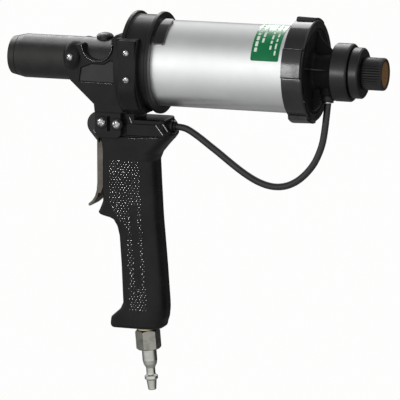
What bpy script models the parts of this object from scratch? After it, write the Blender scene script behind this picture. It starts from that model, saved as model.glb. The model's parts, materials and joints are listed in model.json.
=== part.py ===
"""A hand-held pneumatic capping tool: a pistol grip under an air cylinder.

Axes: +X runs along the barrel from the nose to the silencer, +Z is up, and -Y is the operator's left.
The origin is in the middle of the hand grip, straight below the front face of the cylinder head.
Sizes are in millimetres and become metres where a mesh or an empty is made.
"""

import math

import bmesh
import bpy
from mathutils import Euler, Matrix, Vector

MM = 0.001
GAP = 0.3

# The barrel: stations run along X from the cylinder head's front flange.
BARREL_HEIGHT = 105.0
TUBE_RADIUS = 30.0
TUBE_BORE = 27.0
TUBE_FRONT = 9.6
TUBE_REAR = 122.0
FLANGE_RADIUS = 35.5
BAND_RADIUS = 33.2
HEAD_FRONT = -1.3
HEAD_REAR = 20.0
NOSE_RADIUS = 15.4
NOSE_BORE = 12.0
NOSE_FRONT = -93.0
SADDLE_RADIUS = 38.2
SADDLE_FRONT = -4.0
SADDLE_REAR = 12.4
SPLIT_HALF_GAP = 0.15
CHEEK_WIDTH = 18.6
HOUSING_BASE = -33.9

# The piston and what it drives.
STROKE = 46.0
ROD_RADIUS = 5.0
PISTON_FRONT = 96.0
PISTON_REAR = 108.0
PLUNGER_RADIUS = 11.0
PLUNGER_FRONT = -44.0

# The rear end: screw ring, end plug, exhaust valve and silencer.
RING_FRONT = 116.1
RING_REAR = 131.0
RING_RADIUS = 34.3
LUG_RADIUS = 36.3
LUG_COUNT = 4
LUG_HALF_ANGLE = 16.5
LUG_PHASE = 15.5
NECK_RADIUS = 12.0
NECK_REAR = 144.8
VALVE_RADIUS = 20.0
CAP_RADIUS = 17.5
KNOB_RADIUS = 11.25
KNOB_RIBS = 24
KNOB_REAR = 180.0

# The grip and the trigger, in the barrel's stations and heights.
GRIP_HALF_WIDTH = 13.5
PIVOT = (-20.1, -41.2)
NECK_BOLT = (-9.0, -42.1)
COWL_CENTRE = (-24.3, -43.7)
COWL_RADIUS = 8.9
LEG_INNER = 13.8
LEG_OUTER = 18.2
VALVE_HEIGHT = -64.0
SLOT_HALF_WIDTH = 9.0
SLOT_FLOOR = -14.5

# The air inlet under the grip leans with it.
INLET_TOP = (6.7, -189.2)
INLET_LEAN = math.radians(4.7)
HEX_FLATS = 15.4

# The hose from the grip's rear port to the fitting under the end plug.
HOSE_RADIUS = 2.4
PORT_HEIGHT = -44.6
PORT_FACE = 28.5
REAR_FITTING_STATION = 139.0
REAR_FITTING_FACE = -21.6
HOSE_ROUTE = (
    (28.8, -44.6),
    (33.5, -45.0),
    (38.0, -46.5),
    (45.3, -50.9),
    (52.5, -56.0),
    (59.6, -61.0),
    (66.6, -66.2),
    (73.6, -71.2),
    (80.6, -75.7),
    (87.7, -79.4),
    (95.2, -81.9),
    (102.6, -82.6),
    (109.8, -81.3),
    (116.9, -77.8),
    (123.6, -72.0),
    (129.1, -65.0),
    (132.8, -57.5),
    (135.4, -49.6),
    (137.0, -40.0),
    (138.1, -30.5),
    (139.0, -21.9),
)

COARSE = 12
MEDIUM = 20
FINE = 36


# Scene, materials and placing


def clear_scene():
    for old in list(bpy.data.objects):
        bpy.data.objects.remove(old, do_unlink=True)


def new_collection(name):
    collection = bpy.data.collections.new(name)
    bpy.context.scene.collection.children.link(collection)
    return collection


def new_material(name, colour, roughness, metallic):
    material = bpy.data.materials.new(name)
    material.use_nodes = True
    shader = material.node_tree.nodes["Principled BSDF"]
    shader.inputs["Base Color"].default_value = (*colour, 1.0)
    shader.inputs["Roughness"].default_value = roughness
    shader.inputs["Metallic"].default_value = metallic
    material.diffuse_color = (*colour, 1.0)
    return material


clear_scene()
PARTS = new_collection("capping_tool")
CUTTERS = new_collection("cutters")

BLACK_PLASTIC = new_material("black_plastic", (0.012, 0.012, 0.014), 0.35, 0.0)
GLOSS_PLASTIC = new_material("gloss_plastic", (0.010, 0.010, 0.012), 0.12, 0.0)
BLACK_METAL = new_material("black_anodised", (0.015, 0.015, 0.017), 0.35, 0.6)
ALUMINIUM = new_material("satin_aluminium", (0.78, 0.79, 0.80), 0.28, 1.0)
STEEL = new_material("plated_steel", (0.62, 0.62, 0.60), 0.30, 1.0)
LEVER_STEEL = new_material("lever_steel", (0.42, 0.38, 0.33), 0.38, 1.0)
BRASS = new_material("plated_brass", (0.60, 0.60, 0.50), 0.28, 1.0)
BRONZE = new_material("sintered_bronze", (0.24, 0.11, 0.03), 0.75, 0.6)
RUBBER = new_material("rubber", (0.02, 0.02, 0.02), 0.70, 0.0)
HOSE_BLACK = new_material("hose_black", (0.014, 0.014, 0.015), 0.40, 0.0)
LABEL_GREEN = new_material("label_green", (0.0, 0.17, 0.06), 0.45, 0.0)


def new_empty(name, station, height, turn=0.0):
    empty = bpy.data.objects.new(name, None)
    empty.location = (station * MM, 0.0, height * MM)
    empty.rotation_euler = (0.0, turn, 0.0)
    CUTTERS.objects.link(empty)
    return empty


BARREL_AXIS = new_empty("barrel_axis", 0.0, BARREL_HEIGHT)
INLET_AXIS = new_empty(
    "inlet_axis", INLET_TOP[0], INLET_TOP[1] + BARREL_HEIGHT, -INLET_LEAN
)
bpy.context.view_layer.update()


def add_object(name, mesh, material=None, parent=BARREL_AXIS):
    """A part with a material goes in the tool's collection, and a helper without one among the cutters."""
    obj = bpy.data.objects.new(name, mesh)
    obj.parent = parent
    if material is None:
        CUTTERS.objects.link(obj)
        obj.hide_render = True
        obj.display_type = "WIRE"
    else:
        PARTS.objects.link(obj)
        mesh.materials.append(material)
    return obj


def smooth(mesh):
    mesh.shade_smooth()
    mesh.set_sharp_from_angle(angle=math.radians(35))


def mesh_from(name, bm):
    mesh = bpy.data.meshes.new(name)
    bm.to_mesh(mesh)
    bm.free()
    return mesh


def cut(obj, *cutters):
    for cutter in cutters:
        step = obj.modifiers.new("cut_" + cutter.name, "BOOLEAN")
        step.operation = "DIFFERENCE"
        step.object = cutter


def fuse(obj, *pieces):
    for piece in pieces:
        step = obj.modifiers.new("join_" + piece.name, "BOOLEAN")
        step.operation = "UNION"
        step.object = piece


# Shapes


def signed_area(points):
    return 0.5 * sum(
        a[0] * b[1] - b[0] * a[1] for a, b in zip(points, points[1:] + points[:1])
    )


def turned(name, profile, material=None, steps=FINE, along="X", at=(0.0, 0.0, 0.0), parent=BARREL_AXIS):
    """A turned piece. The profile lists (station along the axis, radius) round the section."""
    section = [(radius, station) for station, radius in profile]
    if signed_area(section) > 0:
        section.reverse()
    on_axis = [k for k, point in enumerate(section) if point[0] == 0.0]
    if on_axis:
        start = next(k for k in on_axis if section[k - 1][0] == 0.0)
        section = section[start:] + section[:start]
    bm = bmesh.new()
    corners = [bm.verts.new((r * MM, 0.0, s * MM)) for r, s in section]
    for a, b in zip(corners, corners[1:]):
        bm.edges.new((a, b))
    if not on_axis:
        bm.edges.new((corners[-1], corners[0]))
    obj = add_object(name, mesh_from(name, bm), material, parent)
    obj.location = Vector(at) * MM
    obj.rotation_euler = {
        "X": (0.0, math.pi / 2, 0.0),
        "Z": (0.0, 0.0, 0.0),
        "+Y": (-math.pi / 2, 0.0, 0.0),
        "-Y": (math.pi / 2, 0.0, 0.0),
    }[along]
    screw = obj.modifiers.new("turn", "SCREW")
    screw.axis = "Z"
    screw.angle = math.tau
    screw.steps = steps
    screw.render_steps = steps
    screw.use_merge_vertices = True
    screw.merge_threshold = 0.00001
    screw.use_smooth_shade = True
    return obj


def rod(name, start, end, radius, steps=MEDIUM, along="X", at=(0.0, 0.0, 0.0), parent=BARREL_AXIS):
    """A plain cylinder, used as a cutter or joined to a part."""
    profile = [(start, 0.0), (start, radius), (end, radius), (end, 0.0)]
    return turned(name, profile, None, steps, along, at, parent)


def arc(centre, radius, first, last, count):
    """Points of an arc, its angles in degrees."""
    angles = [math.radians(first + (last - first) * k / (count - 1)) for k in range(count)]
    return [
        (centre[0] + radius * math.cos(a), centre[1] + radius * math.sin(a)) for a in angles
    ]


# Where a flat outline's own axes, and then its thickness, point in the part's frame.
UPRIGHT = Matrix(((1, 0, 0), (0, 0, -1), (0, 1, 0)))
CROSSWISE = Matrix(((0, 0, 1), (1, 0, 0), (0, 1, 0)))


def slab(name, outline, low, high, material=None, plane=UPRIGHT, parent=BARREL_AXIS):
    """A flat outline with thickness: in XZ with Y from low to high, or crosswise in YZ with X from low to high."""
    curve = bpy.data.curves.new(name, "CURVE")
    curve.dimensions = "2D"
    curve.fill_mode = "BOTH"
    curve.extrude = (high - low) / 2 * MM
    spline = curve.splines.new("POLY")
    spline.points.add(len(outline) - 1)
    for point, (u, v) in zip(spline.points, outline):
        point.co = (u * MM, v * MM, 0.0, 1.0)
    spline.use_cyclic_u = True
    drawn = bpy.data.objects.new(name + "_outline", curve)
    CUTTERS.objects.link(drawn)
    graph = bpy.context.evaluated_depsgraph_get()
    bm = bmesh.new()
    bm.from_mesh(bpy.data.meshes.new_from_object(drawn.evaluated_get(graph)))
    bpy.data.objects.remove(drawn)
    bmesh.ops.remove_doubles(bm, verts=bm.verts, dist=0.000001)
    bm.transform(plane.to_4x4())
    middle = (low + high) / 2 * MM
    shift = (0.0, middle, 0.0) if plane is UPRIGHT else (middle, 0.0, 0.0)
    bmesh.ops.translate(bm, verts=bm.verts, vec=shift)
    bmesh.ops.recalc_face_normals(bm, faces=bm.faces)
    return add_object(name, mesh_from(name, bm), material, parent)


def block(name, low, high, material=None, bevel=0.0, parent=BARREL_AXIS):
    """A box between two corners, its edges rounded if bevel is given."""
    bm = bmesh.new()
    bmesh.ops.create_cube(bm, size=1.0)
    for vert in bm.verts:
        vert.co = [(b + a) / 2 * MM + c * (b - a) * MM for a, b, c in zip(low, high, vert.co)]
    if bevel:
        bmesh.ops.bevel(bm, geom=bm.edges, offset=bevel * MM, segments=2, profile=0.5, affect="EDGES")
    return add_object(name, mesh_from(name, bm), material, parent)


def loft(name, rings, material=None, closed=False, parent=BARREL_AXIS):
    """A skin through rings of as many points each. Closed, the last ring joins the first."""
    bm = bmesh.new()
    loops = [[bm.verts.new(Vector(p) * MM) for p in ring] for ring in rings]
    pairs = list(zip(loops, loops[1:]))
    if closed:
        pairs.append((loops[-1], loops[0]))
    for one, two in pairs:
        for k in range(len(one)):
            after = (k + 1) % len(one)
            bm.faces.new((one[k], one[after], two[after], two[k]))
    if not closed:
        bm.faces.new(loops[0])
        bm.faces.new(list(reversed(loops[-1])))
    bmesh.ops.recalc_face_normals(bm, faces=bm.faces)
    obj = add_object(name, mesh_from(name, bm), material, parent)
    smooth(obj.data)
    return obj


def wire(name, points, radius, material, resolution=1):
    """A round wire or hose through points in the barrel's frame."""
    curve = bpy.data.curves.new(name, "CURVE")
    curve.dimensions = "3D"
    curve.bevel_depth = radius * MM
    curve.bevel_resolution = resolution
    curve.use_fill_caps = True
    spline = curve.splines.new("POLY")
    spline.points.add(len(points) - 1)
    for point, place in zip(spline.points, points):
        point.co = (*(Vector(place) * MM), 1.0)
    obj = bpy.data.objects.new(name, curve)
    obj.parent = BARREL_AXIS
    PARTS.objects.link(obj)
    curve.materials.append(material)
    return obj


def helix(start, end, radius, turns, per_turn, height=0.0):
    """Points of a coil about a line parallel to X."""
    count = turns * per_turn
    points = []
    for k in range(count + 1):
        angle = math.tau * k / per_turn
        station = start + (end - start) * k / count
        points.append((station, radius * math.cos(angle), height + radius * math.sin(angle)))
    return points


def smooth_route(points, spacing):
    """Points every spacing millimetres along a Catmull-Rom curve through the route's own points."""
    ends = [points[0], *points, points[-1]]
    dense = []
    for p0, p1, p2, p3 in zip(ends, ends[1:], ends[2:], ends[3:]):
        for k in range(12):
            t = k / 12
            dense.append(
                tuple(
                    0.5 * (2 * b + (c - a) * t + (2 * a - 5 * b + 4 * c - d) * t * t + (3 * b - a - 3 * c + d) * t**3)
                    for a, b, c, d in zip(p0, p1, p2, p3)
                )
            )
    dense.append(points[-1])
    lengths = [0.0]
    for a, b in zip(dense, dense[1:]):
        lengths.append(lengths[-1] + math.dist(a, b))
    count = round(lengths[-1] / spacing)
    route = []
    k = 0
    for n in range(count):
        want = lengths[-1] * n / count
        while lengths[k + 1] < want:
            k += 1
        share = (want - lengths[k]) / (lengths[k + 1] - lengths[k])
        route.append(tuple(a + (b - a) * share for a, b in zip(dense[k], dense[k + 1])))
    return [*route, dense[-1]]


# The nose


def make_nose():
    tube = turned(
        "nose_tube",
        [
            (-90.0, 13.2),
            (-87.2, 13.2),
            (-87.2, 14.4),
            (-83.0, NOSE_RADIUS),
            (3.7, NOSE_RADIUS),
            (3.7, NOSE_BORE),
            (-90.0, NOSE_BORE),
        ],
        BLACK_METAL,
    )
    cut(tube, rod("stud_hole", 8.0, 20.0, 2.2, COARSE, "Z", (-24.0, 0.0, 0.0)))
    for side, along in ((-1, "-Y"), (1, "+Y")):
        cut(tube, rod(f"boss_hole_{along}", 8.0, 20.0, 2.0, COARSE, along, (-41.5, 0.0, 4.0)))
    turned(
        "nose_ring",
        [
            (NOSE_FRONT, 12.9),
            (-92.4, 13.3),
            (-87.5, 14.4),
            (-87.5, 13.5),
            (-90.3, 13.5),
            (-90.3, 11.4),
            (NOSE_FRONT, 11.4),
        ],
        BLACK_METAL,
    )
    stud = turned(
        "top_stud",
        [(12.5, 0.0), (12.5, 6.0), (16.6, 6.0), (18.0, 4.6), (18.8, 2.6), (19.1, 0.0)],
        BLACK_METAL,
        MEDIUM,
        "Z",
        (-24.0, 0.0, 0.0),
    )
    cut(stud, rod("stud_seat", -36.0, -12.0, NOSE_RADIUS + GAP, FINE))
    fuse(stud, rod("stud_stem", 12.4, 17.0, 1.8, COARSE, "Z", (-24.0, 0.0, 0.0)))


# The two housing halves


def cheek_outline():
    """The cheek beside the nose tube, with the U-shaped opening in its upper edge."""
    opening = arc((-22.9, 12.5), 10.3, 0.0, -180.0, 9)
    return [
        (-47.5, -3.0),
        (-43.5, -12.8),
        (-25.9, -28.8),
        (-25.2, HOUSING_BASE),
        (-2.0, HOUSING_BASE),
        (-2.0, 20.2),
        (-10.4, 20.2),
        (-12.2, 18.0),
        *opening,
        (-34.5, 12.5),
        (-41.0, 11.0),
        (-47.5, 4.0),
    ]


def saddle_outline(side):
    """The half ring that wraps the cylinder head, open at the top and above the grip."""
    lowest = math.degrees(math.asin(HOUSING_BASE / SADDLE_RADIUS))
    outer = arc((0.0, 0.0), SADDLE_RADIUS, lowest, 32.0, 13)
    points = [(SPLIT_HALF_GAP, HOUSING_BASE), *outer, (12.0, outer[-1][1]), (12.0, 9.5), (SPLIT_HALF_GAP, 9.5)]
    return [(side * y, z) for y, z in points]


def spread(side, inner, outer):
    """The Y range of a layer on one side."""
    return sorted((side * inner, side * outer))


def make_housing(name, side, bores):
    along = "-Y" if side < 0 else "+Y"
    half = slab(name, cheek_outline(), *spread(side, SPLIT_HALF_GAP, CHEEK_WIDTH), BLACK_PLASTIC)
    saddle = slab(name + "_saddle", saddle_outline(side), SADDLE_FRONT, SADDLE_REAR, plane=CROSSWISE)
    y_low, y_high = spread(side, 30.0, 38.8)
    pad = block(name + "_pad", (-0.4, y_low, -19.8), (11.9, y_high, 19.6), bevel=0.8)
    leg_shape = [(-25.2, -30.0), (-25.2, -49.8), (-22.6, -52.4), (-8.4, -52.4), (-6.0, -50.0), (-6.0, -30.0)]
    leg = slab(name + "_leg", leg_shape, *spread(side, LEG_INNER, LEG_OUTER))
    bm = bmesh.new()
    bmesh.ops.create_uvsphere(bm, u_segments=20, v_segments=12, radius=1.0)
    bmesh.ops.scale(bm, verts=bm.verts, vec=(8.2 * MM, 8.8 * MM, 10.9 * MM))
    boss = add_object(name + "_boss", mesh_from(name + "_boss", bm))
    boss.location = Vector((-41.5, side * 14.0, 4.0)) * MM
    rim_shape = [
        *arc((-22.9, 12.5), 10.3, -8.0, -172.0, 9),
        *arc((-22.9, 12.5), 12.3, -172.0, -8.0, 9),
    ]
    rim = slab(name + "_rim", rim_shape, *spread(side, 17.0, CHEEK_WIDTH + 0.7))
    panel_shape = [(-34.8, -3.8), (-36.4, -13.2), (-11.3, -13.4), (-9.9, 0.6), (-13.5, 2.4), (-18.0, -0.9), (-27.5, -0.9)]
    panel = slab(name + "_panel", panel_shape, *spread(side, CHEEK_WIDTH - 1.0, 24.0))
    fuse(half, saddle, pad, leg, boss, rim)
    cut(half, *bores, panel)
    for hole, (x, z) in (("pivot", PIVOT), ("bolt", NECK_BOLT)):
        cut(half, rod(f"{name}_{hole}_hole", 10.0, 30.0, 2.8, COARSE, along, (x, 0.0, z)))
    for x, z in ((6.0, 11.4), (6.0, -7.2), (-41.5, 4.0)):
        cut(half, rod(f"{name}_hole_{z:.0f}", 10.0, 45.0, 2.0, COARSE, along, (x, 0.0, z)))
    return half


def make_housings():
    bores = [
        rod("nose_seat", -60.0, 0.0, NOSE_RADIUS + GAP, FINE),
        rod("flange_groove", HEAD_FRONT - GAP, 1.8, FLANGE_RADIUS + GAP, FINE),
        rod("band_seat", 1.0, 25.0, BAND_RADIUS + GAP, FINE),
    ]
    make_housing("housing_left", -1, bores)
    make_housing("housing_right", 1, bores)


# Screws, and bolts with their nuts


def screw(name, side, x, z, face, length, head=3.1, shank=1.7):
    """A pan-head screw whose head sits just off a face at that distance from the middle plane."""
    along = "-Y" if side < 0 else "+Y"
    bottom = face + GAP
    profile = [
        (face - length, 0.0),
        (face - length, shank),
        (bottom, shank),
        (bottom, head),
        (bottom + 0.9, head),
        (bottom + 1.5, head - 0.8),
        (bottom + 1.6, 0.0),
    ]
    turned(name, profile, STEEL, COARSE, along, (x, 0.0, z))


def make_fasteners():
    for side, hand in ((-1, "left"), (1, "right")):
        screw(f"boss_screw_{hand}", side, -41.5, 4.0, 22.8, 9.0)
        screw(f"saddle_screw_{hand}_upper", side, 6.0, 11.4, 38.8, 10.0)
        screw(f"saddle_screw_{hand}_lower", side, 6.0, -7.2, 38.8, 8.0)
    for name, (x, z) in (("trigger_pin", PIVOT), ("neck_bolt", NECK_BOLT)):
        screw(name, -1, x, z, LEG_OUTER, 2 * LEG_OUTER + 1.6, 3.5, 2.5)
        start = LEG_OUTER + GAP
        nut = [(start, 2.8), (start, 3.6), (start + 1.2, 3.6), (start + 1.7, 3.0), (start + 1.7, 2.8)]
        turned(name + "_nut", nut, STEEL, COARSE, "+Y", (x, 0.0, z))


# The air cylinder and what moves in it


def make_cylinder():
    head = turned(
        "front_head",
        [
            (HEAD_FRONT, 35.0),
            (HEAD_FRONT + 0.5, FLANGE_RADIUS),
            (1.0, FLANGE_RADIUS),
            (1.5, 35.0),
            (1.5, BAND_RADIUS),
            (17.2, BAND_RADIUS),
            (17.2, 35.0),
            (17.7, FLANGE_RADIUS),
            (19.5, FLANGE_RADIUS),
            (HEAD_REAR, 35.0),
            (HEAD_REAR, TUBE_RADIUS + GAP),
            (8.0, TUBE_RADIUS + GAP),
            (8.0, 16.0),
            (14.0, 16.0),
            (14.0, 9.0),
            (4.0, 9.0),
            (4.0, NOSE_RADIUS + GAP),
            (HEAD_FRONT, NOSE_RADIUS + GAP),
        ],
        BLACK_METAL,
    )
    for along in ("-Y", "+Y"):
        for z in (11.4, -7.2):
            cut(head, rod(f"head_hole_{along}_{z:.0f}", 26.0, 45.0, 2.0, COARSE, along, (6.0, 0.0, z)))
    turned("rod_bush", [(6.8, 8.7), (14.3, 8.7), (14.3, 10.8), (15.8, 10.8), (15.8, 5.3), (6.8, 5.3)], BRASS, MEDIUM)
    turned("rod_seal", [(4.3, 8.7), (6.5, 8.7), (6.5, 5.3), (4.3, 5.3)], RUBBER, MEDIUM)
    turned("tube_gasket", [(8.3, 30.0), (9.3, 30.0), (9.3, 27.2), (8.3, 27.2)], RUBBER)
    turned(
        "cylinder_tube",
        [(TUBE_FRONT, TUBE_RADIUS), (TUBE_REAR, TUBE_RADIUS), (TUBE_REAR, TUBE_BORE), (TUBE_FRONT, TUBE_BORE)],
        ALUMINIUM,
    )
    label = [*arc((0.0, 0.0), 30.6, 162.0, 80.0, 15), *arc((0.0, 0.0), 30.3, 80.0, 162.0, 15)]
    slab("rating_label", label, 92.4, 112.3, LABEL_GREEN, CROSSWISE)
    catch = [*arc((0.0, 0.0), 32.0, 153.0, 98.0, 9), *arc((0.0, 0.0), 30.3, 98.0, 153.0, 9)]
    slab("locking_catch", catch, 20.8, 29.8, GLOSS_PLASTIC, CROSSWISE)


def make_piston():
    turned(
        "piston",
        [
            (PISTON_FRONT, 25.6),
            (PISTON_FRONT + 0.6, 26.2),
            (100.0, 26.2),
            (100.0, 23.5),
            (104.0, 23.5),
            (104.0, 26.2),
            (PISTON_REAR, 26.2),
            (PISTON_REAR, 3.8),
            (PISTON_FRONT, 3.8),
        ],
        ALUMINIUM,
    )
    turned("piston_seal", [(100.3, 26.7), (103.7, 26.7), (103.7, 23.8), (100.3, 23.8)], RUBBER)
    turned(
        "piston_rod",
        [
            (-42.0, 0.0),
            (-42.0, 3.0),
            (-33.7, 3.0),
            (-33.7, ROD_RADIUS),
            (PISTON_FRONT - GAP, ROD_RADIUS),
            (PISTON_FRONT - GAP, 3.5),
            (112.5, 3.5),
            (112.5, 0.0),
        ],
        STEEL,
        MEDIUM,
    )
    turned("piston_nut", [(108.3, 7.5), (112.9, 7.5), (112.9, 4.4), (108.3, 4.4)], STEEL, 6)
    turned(
        "plunger",
        [
            (PLUNGER_FRONT, 0.0),
            (PLUNGER_FRONT, 10.2),
            (PLUNGER_FRONT + 0.8, PLUNGER_RADIUS),
            (-34.8, PLUNGER_RADIUS),
            (-34.0, 10.2),
            (-34.0, 3.3),
            (-42.3, 3.3),
            (-42.3, 0.0),
        ],
        STEEL,
        MEDIUM,
    )
    pad = [(-46.5, 0.0), (-46.5, 9.2), (-45.9, 9.8), (-44.3, 9.8), (-44.3, 0.0)]
    turned("plunger_pad", pad, RUBBER, MEDIUM)
    wire("return_spring", helix(9.8, 94.1, 19.5, 8, 12), 1.4, STEEL)


# The rear end


def make_rear_plug():
    plug = turned(
        "rear_plug",
        [
            (114.5, 26.7),
            (116.0, 26.7),
            (116.0, 24.9),
            (118.6, 24.9),
            (118.6, 26.7),
            (122.3, 26.7),
            (122.3, 31.8),
            (128.0, 31.8),
            (128.0, 29.1),
            (130.6, 29.1),
            (130.6, 27.6),
            (129.9, 26.6),
            (129.9, 14.5),
            (131.0, NECK_RADIUS),
            (NECK_REAR, NECK_RADIUS),
            (NECK_REAR, 4.0),
            (114.5, 4.0),
        ],
        BLACK_PLASTIC,
    )
    for k in range(8):
        rib_shape = [(128.0, 10.5), (128.0, 28.2), (130.4, 28.2), (131.6, 14.5), (134.5, 10.5)]
        rib = slab(f"plug_rib_{k}", rib_shape, -0.9, 0.9)
        rib.rotation_euler = (math.radians(87.0 + 45.0 * k), 0.0, 0.0)
        fuse(plug, rib)
    station = (REAR_FITTING_STATION, 0.0, 0.0)
    fuse(plug, rod("fitting_boss", -16.0, -6.0, 5.6, COARSE, "Z", station))
    cut(plug, rod("fitting_bore", -20.0, -2.0, 3.3, COARSE, "Z", station))
    turned("plug_seal", [(116.3, 26.7), (118.3, 26.7), (118.3, 25.2), (116.3, 25.2)], RUBBER)


def make_lock_ring():
    ring = turned(
        "lock_ring",
        [
            (RING_FRONT, RING_RADIUS),
            (129.8, RING_RADIUS),
            (130.2, 34.8),
            (130.7, 34.7),
            (RING_REAR, 34.2),
            (RING_REAR, 29.5),
            (128.3, 29.5),
            (128.3, 32.1),
            (TUBE_REAR, 32.1),
            (TUBE_REAR, TUBE_RADIUS + GAP),
            (RING_FRONT, TUBE_RADIUS + GAP),
        ],
        GLOSS_PLASTIC,
    )
    for k in range(LUG_COUNT):
        middle = 180.0 - LUG_PHASE - 360.0 / LUG_COUNT * k
        lug_shape = [
            *arc((0.0, 0.0), LUG_RADIUS, middle + LUG_HALF_ANGLE, middle - LUG_HALF_ANGLE, 7),
            *arc((0.0, 0.0), 33.0, middle - LUG_HALF_ANGLE, middle + LUG_HALF_ANGLE, 7),
        ]
        fuse(ring, slab(f"ring_lug_{k}", lug_shape, RING_FRONT + 0.2, 130.4, plane=CROSSWISE))


def make_exhaust():
    turned(
        "exhaust_valve_body",
        [
            (145.1, 19.2),
            (145.9, VALVE_RADIUS),
            (156.7, VALVE_RADIUS),
            (157.4, 19.3),
            (157.4, 15.0),
            (148.2, 15.0),
            (148.2, 4.0),
            (145.1, 4.0),
        ],
        BLACK_PLASTIC,
    )
    turned("exhaust_diaphragm", [(150.2, 0.0), (150.2, 12.0), (152.2, 12.0), (152.2, 0.0)], RUBBER, MEDIUM)
    turned(
        "exhaust_valve_cap",
        [
            (154.4, 14.7),
            (157.7, 14.7),
            (157.7, 16.8),
            (158.4, CAP_RADIUS),
            (164.3, CAP_RADIUS),
            (164.9, 16.9),
            (164.9, 7.9),
            (158.7, 7.9),
            (158.7, 5.0),
            (154.4, 5.0),
        ],
        BLACK_PLASTIC,
    )


def knob_ring(station, radius, depth=0.0):
    """One ring of the ribbed knob: depth is how far its grooves go in."""
    count = 2 * KNOB_RIBS
    points = []
    for k in range(count):
        angle = math.tau * k / count
        reach = radius - depth * (k % 2)
        points.append((station, reach * math.cos(angle), reach * math.sin(angle)))
    return points


def make_silencer():
    rings = [
        knob_ring(159.0, 7.5),
        knob_ring(165.2, 7.5),
        knob_ring(165.2, 10.4),
        knob_ring(165.9, KNOB_RADIUS, 0.45),
        knob_ring(179.2, KNOB_RADIUS, 0.45),
        knob_ring(KNOB_REAR, 10.4),
        knob_ring(KNOB_REAR, 9.7),
        knob_ring(172.0, 9.7),
        knob_ring(172.0, 4.0),
        knob_ring(159.0, 4.0),
    ]
    loft("silencer_knob", rings, BLACK_PLASTIC, closed=True)
    disc = [(176.8, 0.0), (176.8, 9.3), (179.2, 9.3), (179.7, 8.8), (179.7, 0.0)]
    turned("silencer_disc", disc, BRONZE, MEDIUM)


# The grip, the trigger and the valve between them


def grip_section(height, front, rear, half_width, front_radius, rear_radius):
    """One level cut of the grip: a rectangle whose front and rear corners have their own radii."""
    corners = (
        (rear - rear_radius, half_width - rear_radius, rear_radius, 0.0),
        (front + front_radius, half_width - front_radius, front_radius, 90.0),
        (front + front_radius, -half_width + front_radius, front_radius, 180.0),
        (rear - rear_radius, -half_width + rear_radius, rear_radius, 270.0),
    )
    points = []
    for x, y, radius, first in corners:
        points += arc((x, y), radius, first, first + 90.0, 5)
    return [(x, y, height) for x, y in points]


GRIP_SECTIONS = (
    (-34.3, -23.4, 1.2, 12.2, 2.5, 2.5),
    (-35.2, -24.0, 2.0, 12.8, 2.8, 3.0),
    (-38.4, -24.0, 2.4, 12.8, 3.0, 3.0),
    (-38.8, -24.0, 19.8, 12.0, 3.0, 3.5),
    (-39.5, -24.0, 22.2, 12.9, 3.0, 4.0),
    (-41.0, -24.0, 23.7, 13.1, 3.0, 4.0),
    (-46.6, -24.0, 24.8, 13.2, 3.0, 5.0),
    (-48.3, -24.0, 27.7, 13.4, 3.0, 6.0),
    (-50.0, -24.0, 27.9, 13.4, 3.0, 6.5),
    (-58.0, -22.8, 21.2, 13.5, 3.5, 6.5),
    (-63.4, -22.2, 16.7, 13.5, 4.0, 6.5),
    (-68.5, -22.1, 14.6, 13.5, 4.0, 6.5),
    (-86.0, -22.1, 15.4, 13.5, 4.0, 6.5),
    (-98.5, -22.3, 16.1, 13.5, 4.0, 6.5),
    (-103.5, -24.2, 16.3, 13.5, 3.6, 6.5),
    (-106.3, -25.6, 16.5, 13.5, 3.4, 6.5),
    (-107.9, -24.2, 16.6, 13.5, 3.4, 6.5),
    (-109.4, -17.6, 16.7, 13.5, 4.0, 6.5),
    (-111.0, -14.4, 16.8, 13.5, 4.0, 6.5),
    (-115.6, -11.6, 17.2, 13.5, 4.0, 6.5),
    (-122.3, -10.0, 17.8, 13.5, 4.0, 6.5),
    (-143.4, -8.6, 19.6, 13.5, 4.0, 6.5),
    (-170.0, -7.5, 21.5, 13.5, 4.0, 6.5),
    (-174.4, -9.5, 21.6, 13.5, 4.0, 6.5),
    (-180.6, -16.4, 21.0, 13.5, 4.0, 6.5),
    (-184.4, -17.0, 19.6, 13.2, 4.0, 6.5),
    (-187.2, -15.5, 16.8, 11.8, 4.0, 6.0),
    (-188.3, -12.8, 13.6, 9.6, 3.5, 5.0),
)


def make_grip():
    grip = loft("grip", [grip_section(*section) for section in GRIP_SECTIONS], BLACK_PLASTIC)
    passage = rod("air_passage", 0.0, 23.0, 1.8, COARSE, "Z", (5.0, 0.0, -62.0))
    passage.rotation_euler = (0.0, math.radians(39.0), 0.0)
    cutters = [
        rod("head_cradle", -3.0, 32.0, FLANGE_RADIUS + 0.6, FINE),
        block("trigger_slot", (-40.0, -SLOT_HALF_WIDTH, -104.6), (SLOT_FLOOR, SLOT_HALF_WIDTH, -30.0)),
        rod("valve_bore", -16.0, 9.3, 5.3, MEDIUM, "X", (0.0, 0.0, VALVE_HEIGHT)),
        rod("hose_port", 19.0, 40.0, 4.6, MEDIUM, "X", (0.0, 0.0, PORT_HEIGHT)),
        passage,
        rod("pivot_bore", -20.0, 20.0, 2.8, COARSE, "+Y", (PIVOT[0], 0.0, PIVOT[1])),
        rod("bolt_bore", -20.0, 20.0, 2.8, COARSE, "+Y", (NECK_BOLT[0], 0.0, NECK_BOLT[1])),
        rod("inlet_bore", -5.0, 121.0, 4.0, COARSE, "Z", parent=INLET_AXIS),
        rod("inlet_socket", -5.0, 11.0, 6.1, MEDIUM, "Z", parent=INLET_AXIS),
    ]
    cut(grip, *cutters)


def make_trigger_cowl():
    outline = [*arc(COWL_CENTRE, COWL_RADIUS, 90.0, 218.0, 14), (COWL_CENTRE[0], -57.3)]
    cowl = slab("trigger_cowl", outline, -13.0, 13.0, BLACK_PLASTIC)
    hollow = [(-20.0, -37.0), *arc(COWL_CENTRE, COWL_RADIUS - 2.2, 90.0, 180.0, 7), (-31.0, -62.0), (-20.0, -62.0)]
    cut(cowl, slab("cowl_hollow", hollow, -9.4, 9.4))


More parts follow.
